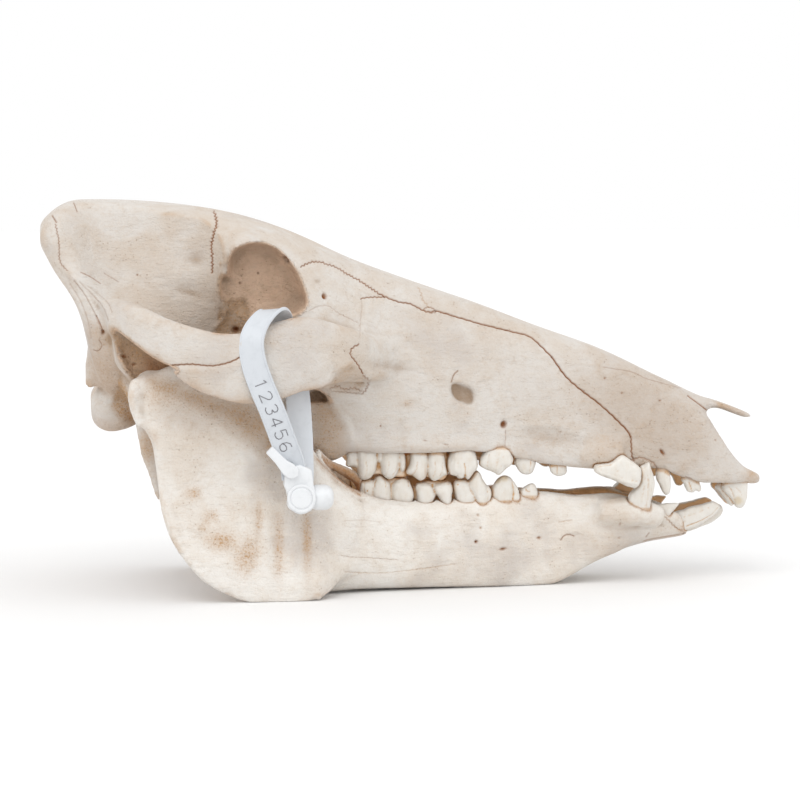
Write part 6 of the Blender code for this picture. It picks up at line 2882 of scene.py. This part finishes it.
    def digit(self, strokes: Sequence[Sequence[Place]], along: float) -> bpy.types.Object:
        """One digit as thin raised ribbons that follow the strap.

        Args:
            strokes: lines of the digit, in a box of half width 1 across its foot and half height 1.
            along: length along the strap of its middle.

        Returns:
            The new object.
        """
        points, faces = [], []
        for stroke in strokes:
            path = [Vector((x * self.digit_half_width, y * self.digit_half_height)) for x, y in stroke]
            fine: list[Vector] = []
            for start, end in zip(path, path[1:]):
                steps = max(1, round((end - start).length / 0.5))
                fine += [start.lerp(end, i / steps) for i in range(steps)]
            fine.append(path[-1])
            first = len(points)
            for i, here in enumerate(fine):
                run = (fine[min(i + 1, len(fine) - 1)] - fine[max(i - 1, 0)]).normalized()
                square = Vector((-run.y, run.x)) * self.pen
                for spot in (here + square, here - square):
                    points.append(tuple(self.printed(along - spot.x, spot.y) * MM))
            for i in range(len(fine) - 1):
                a = first + 2 * i
                faces.append((a, a + 1, a + 3, a + 2))
        mesh = bpy.data.meshes.new("tag_digit")
        mesh.from_pydata(points, [], faces)
        return linked("tag_digit", mesh)

    def printed(self, along: float, across_by: float) -> Vector:
        """Point just above the strap's outer face."""
        centre, _, across, out = self.at(along)
        return centre + across * across_by + out * (self.thickness / 2 * 0.82 + 0.04)

    def build(self) -> None:
        """Models and dresses every part of the tag."""
        strap = self.strap()
        dressed(strap, self.plastic, Slot.PLASTIC, ["tag"])
        body = joined(
            "tag_lock",
            [
                self.slab("tag_lock", self.lock_outline, self.lock_widths, self.lock_rounding),
                self.slab("tag_tail", self.tail_outline, self.tail_widths, self.tail_rounding),
            ],
        )
        dressed(body, self.body, Slot.PLASTIC, [])
        spot = self.viewpoint.at_width(self.button_place, self.button_width)
        sizes = (self.button_radius, self.button_height)
        button = self.drum("tag_button", spot, sizes, (0, -1, 0), self.button_rim)
        dressed(button, self.body, Slot.PLASTIC, [])
        spot = self.viewpoint.at_width(self.catch_place, self.catch_width)
        sizes = (self.catch_radius, self.catch_length)
        catch = self.drum("tag_catch", spot, sizes, (1, 0, 0), self.catch_rim)
        dressed(catch, self.body, Slot.PLASTIC, [])
        digits = [
            self.digit(DIGIT_STROKES[figure], self.digits_from - self.digit_step * i)
            for i, figure in enumerate("123456")
        ]
        number = joined("tag_number", digits)
        modified(number, "SOLIDIFY", thickness=self.ink_thickness * MM, offset=1.0)
        outward(number)
        dressed(number, self.ink, Slot.PLASTIC, [])


# Plain figures, as lines in a box from -1 to 1
DIGIT_STROKES = {
    "1": (((-0.5, 0.6), (0.1, 1.0), (0.1, -1.0)),),
    "2": ((
        (-0.9, 0.6), (-0.6, 0.9), (0, 1.0), (0.6, 0.9), (0.9, 0.5), (0.7, 0.1), (-0.9, -1.0), (0.95, -1.0),
    ),),
    "3": ((
        (-0.8, 0.8), (-0.3, 1.0), (0.4, 1.0), (0.85, 0.7), (0.8, 0.25), (0.1, 0.05), (0.8, -0.15),
        (0.9, -0.6), (0.5, -0.95), (-0.3, -1.0), (-0.85, -0.75),
    ),),
    "4": (((0.5, -1.0), (0.5, 1.0), (-0.95, -0.4), (0.95, -0.4)),),
    "5": ((
        (0.8, 1.0), (-0.65, 1.0), (-0.8, 0.1), (-0.2, 0.25), (0.5, 0.2), (0.9, -0.2), (0.85, -0.65),
        (0.4, -0.95), (-0.3, -1.0), (-0.85, -0.75),
    ),),
    "6": ((
        (0.6, 0.95), (-0.2, 0.9), (-0.75, 0.4), (-0.9, -0.3), (-0.6, -0.85), (0, -1.0), (0.6, -0.9),
        (0.9, -0.5), (0.75, -0.05), (0.2, 0.1), (-0.4, 0.0), (-0.85, -0.3),
    ),),
}


# Studio

@dataclass(frozen=True)
class Studio:
    """Pale floor, white surroundings and soft lamps."""

    floor_size: float = 9.0
    floor_tone: float = 0.85
    surround: float = 1.0
    lamps: tuple[tuple[str, Point, float, float], ...] = (
        ("key_lamp", (-0.55, -0.8, 1.1), 0.9, 50),
        ("side_lamp", (0.9, -0.7, 0.7), 0.35, 60),
    )

    def floor(self) -> None:
        """Plain pale floor."""
        made = added("floor", "plane", size=self.floor_size, location=(0, 0, -0.0001))
        made.data.materials.append(Recipe("pale_floor").finished((*[self.floor_tone] * 3, 1), 0.9, 0.1))
        made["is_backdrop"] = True

    def lamp(self, name: str, source: Point, strength: float, spread: float) -> None:
        """One far soft lamp.

        Args:
            name: its name.
            source: direction that its light comes from.
            strength: its light on a face square to it.
            spread: width of the lamp in degrees, as seen from the object.
        """
        light = bpy.data.lights.new(name, "SUN")
        light.energy = strength
        light.angle = math.radians(spread)
        made = linked(name, light)
        made.location = source
        made.rotation_mode = "QUATERNION"
        made.rotation_quaternion = Vector(source).to_track_quat("Z", "Y")

    def build(self) -> None:
        """Makes the floor, the surroundings and the lamps."""
        self.floor()
        world = bpy.data.worlds.new("white_room")
        world.use_nodes = True
        background = world.node_tree.nodes["Background"]
        background.inputs["Color"].default_value = (1, 1, 1, 1)
        background.inputs["Strength"].default_value = self.surround
        bpy.context.scene.world = world
        bpy.context.scene.view_settings.view_transform = "Standard"
        for lamp in self.lamps:
            self.lamp(*lamp)


def corners() -> list[list[float]]:
    """The shown object's lowest and highest corner as plain lists."""
    return [list(corner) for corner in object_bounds()]


def main() -> None:
    """Builds the skull and its surroundings."""
    logging.basicConfig(level=logging.INFO, format="%(message)s")
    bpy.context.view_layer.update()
    bpy.ops.object.select_all(action="DESELECT")
    viewpoint = Viewpoint()
    viewpoint.build()
    Studio().build()
    teeth = Teeth(viewpoint, EnamelFinish("enamel_white").build()).build()
    Cranium(viewpoint, BoneFinish("bone_cranium", (0.25, 1, 1)).build()).build(teeth["upper"])
    # The lower jaw's bone is paler than the cranium's, partly its own tone and partly painted light against
    # the shade along its lower body; its inward faces get a strong orange-brown tint, partly stain and partly
    # painted shade.
    lower = BoneFinish(
        "bone_mandible", (0.2, 1, 1), colour(248, 198, 140), colour(229, 225, 219), colour(220, 211, 200)
    )
    Mandible(viewpoint, lower.build()).build(teeth["lower"])
    strap = PlasticFinish("plastic_strap")
    body = PlasticFinish("plastic_white", colour(222, 224, 226), colour(212, 214, 216))
    Tag(viewpoint, strap.build(), body.build(), InkFinish("ink_grey").build()).build()


if __name__ == "__main__":
    main()
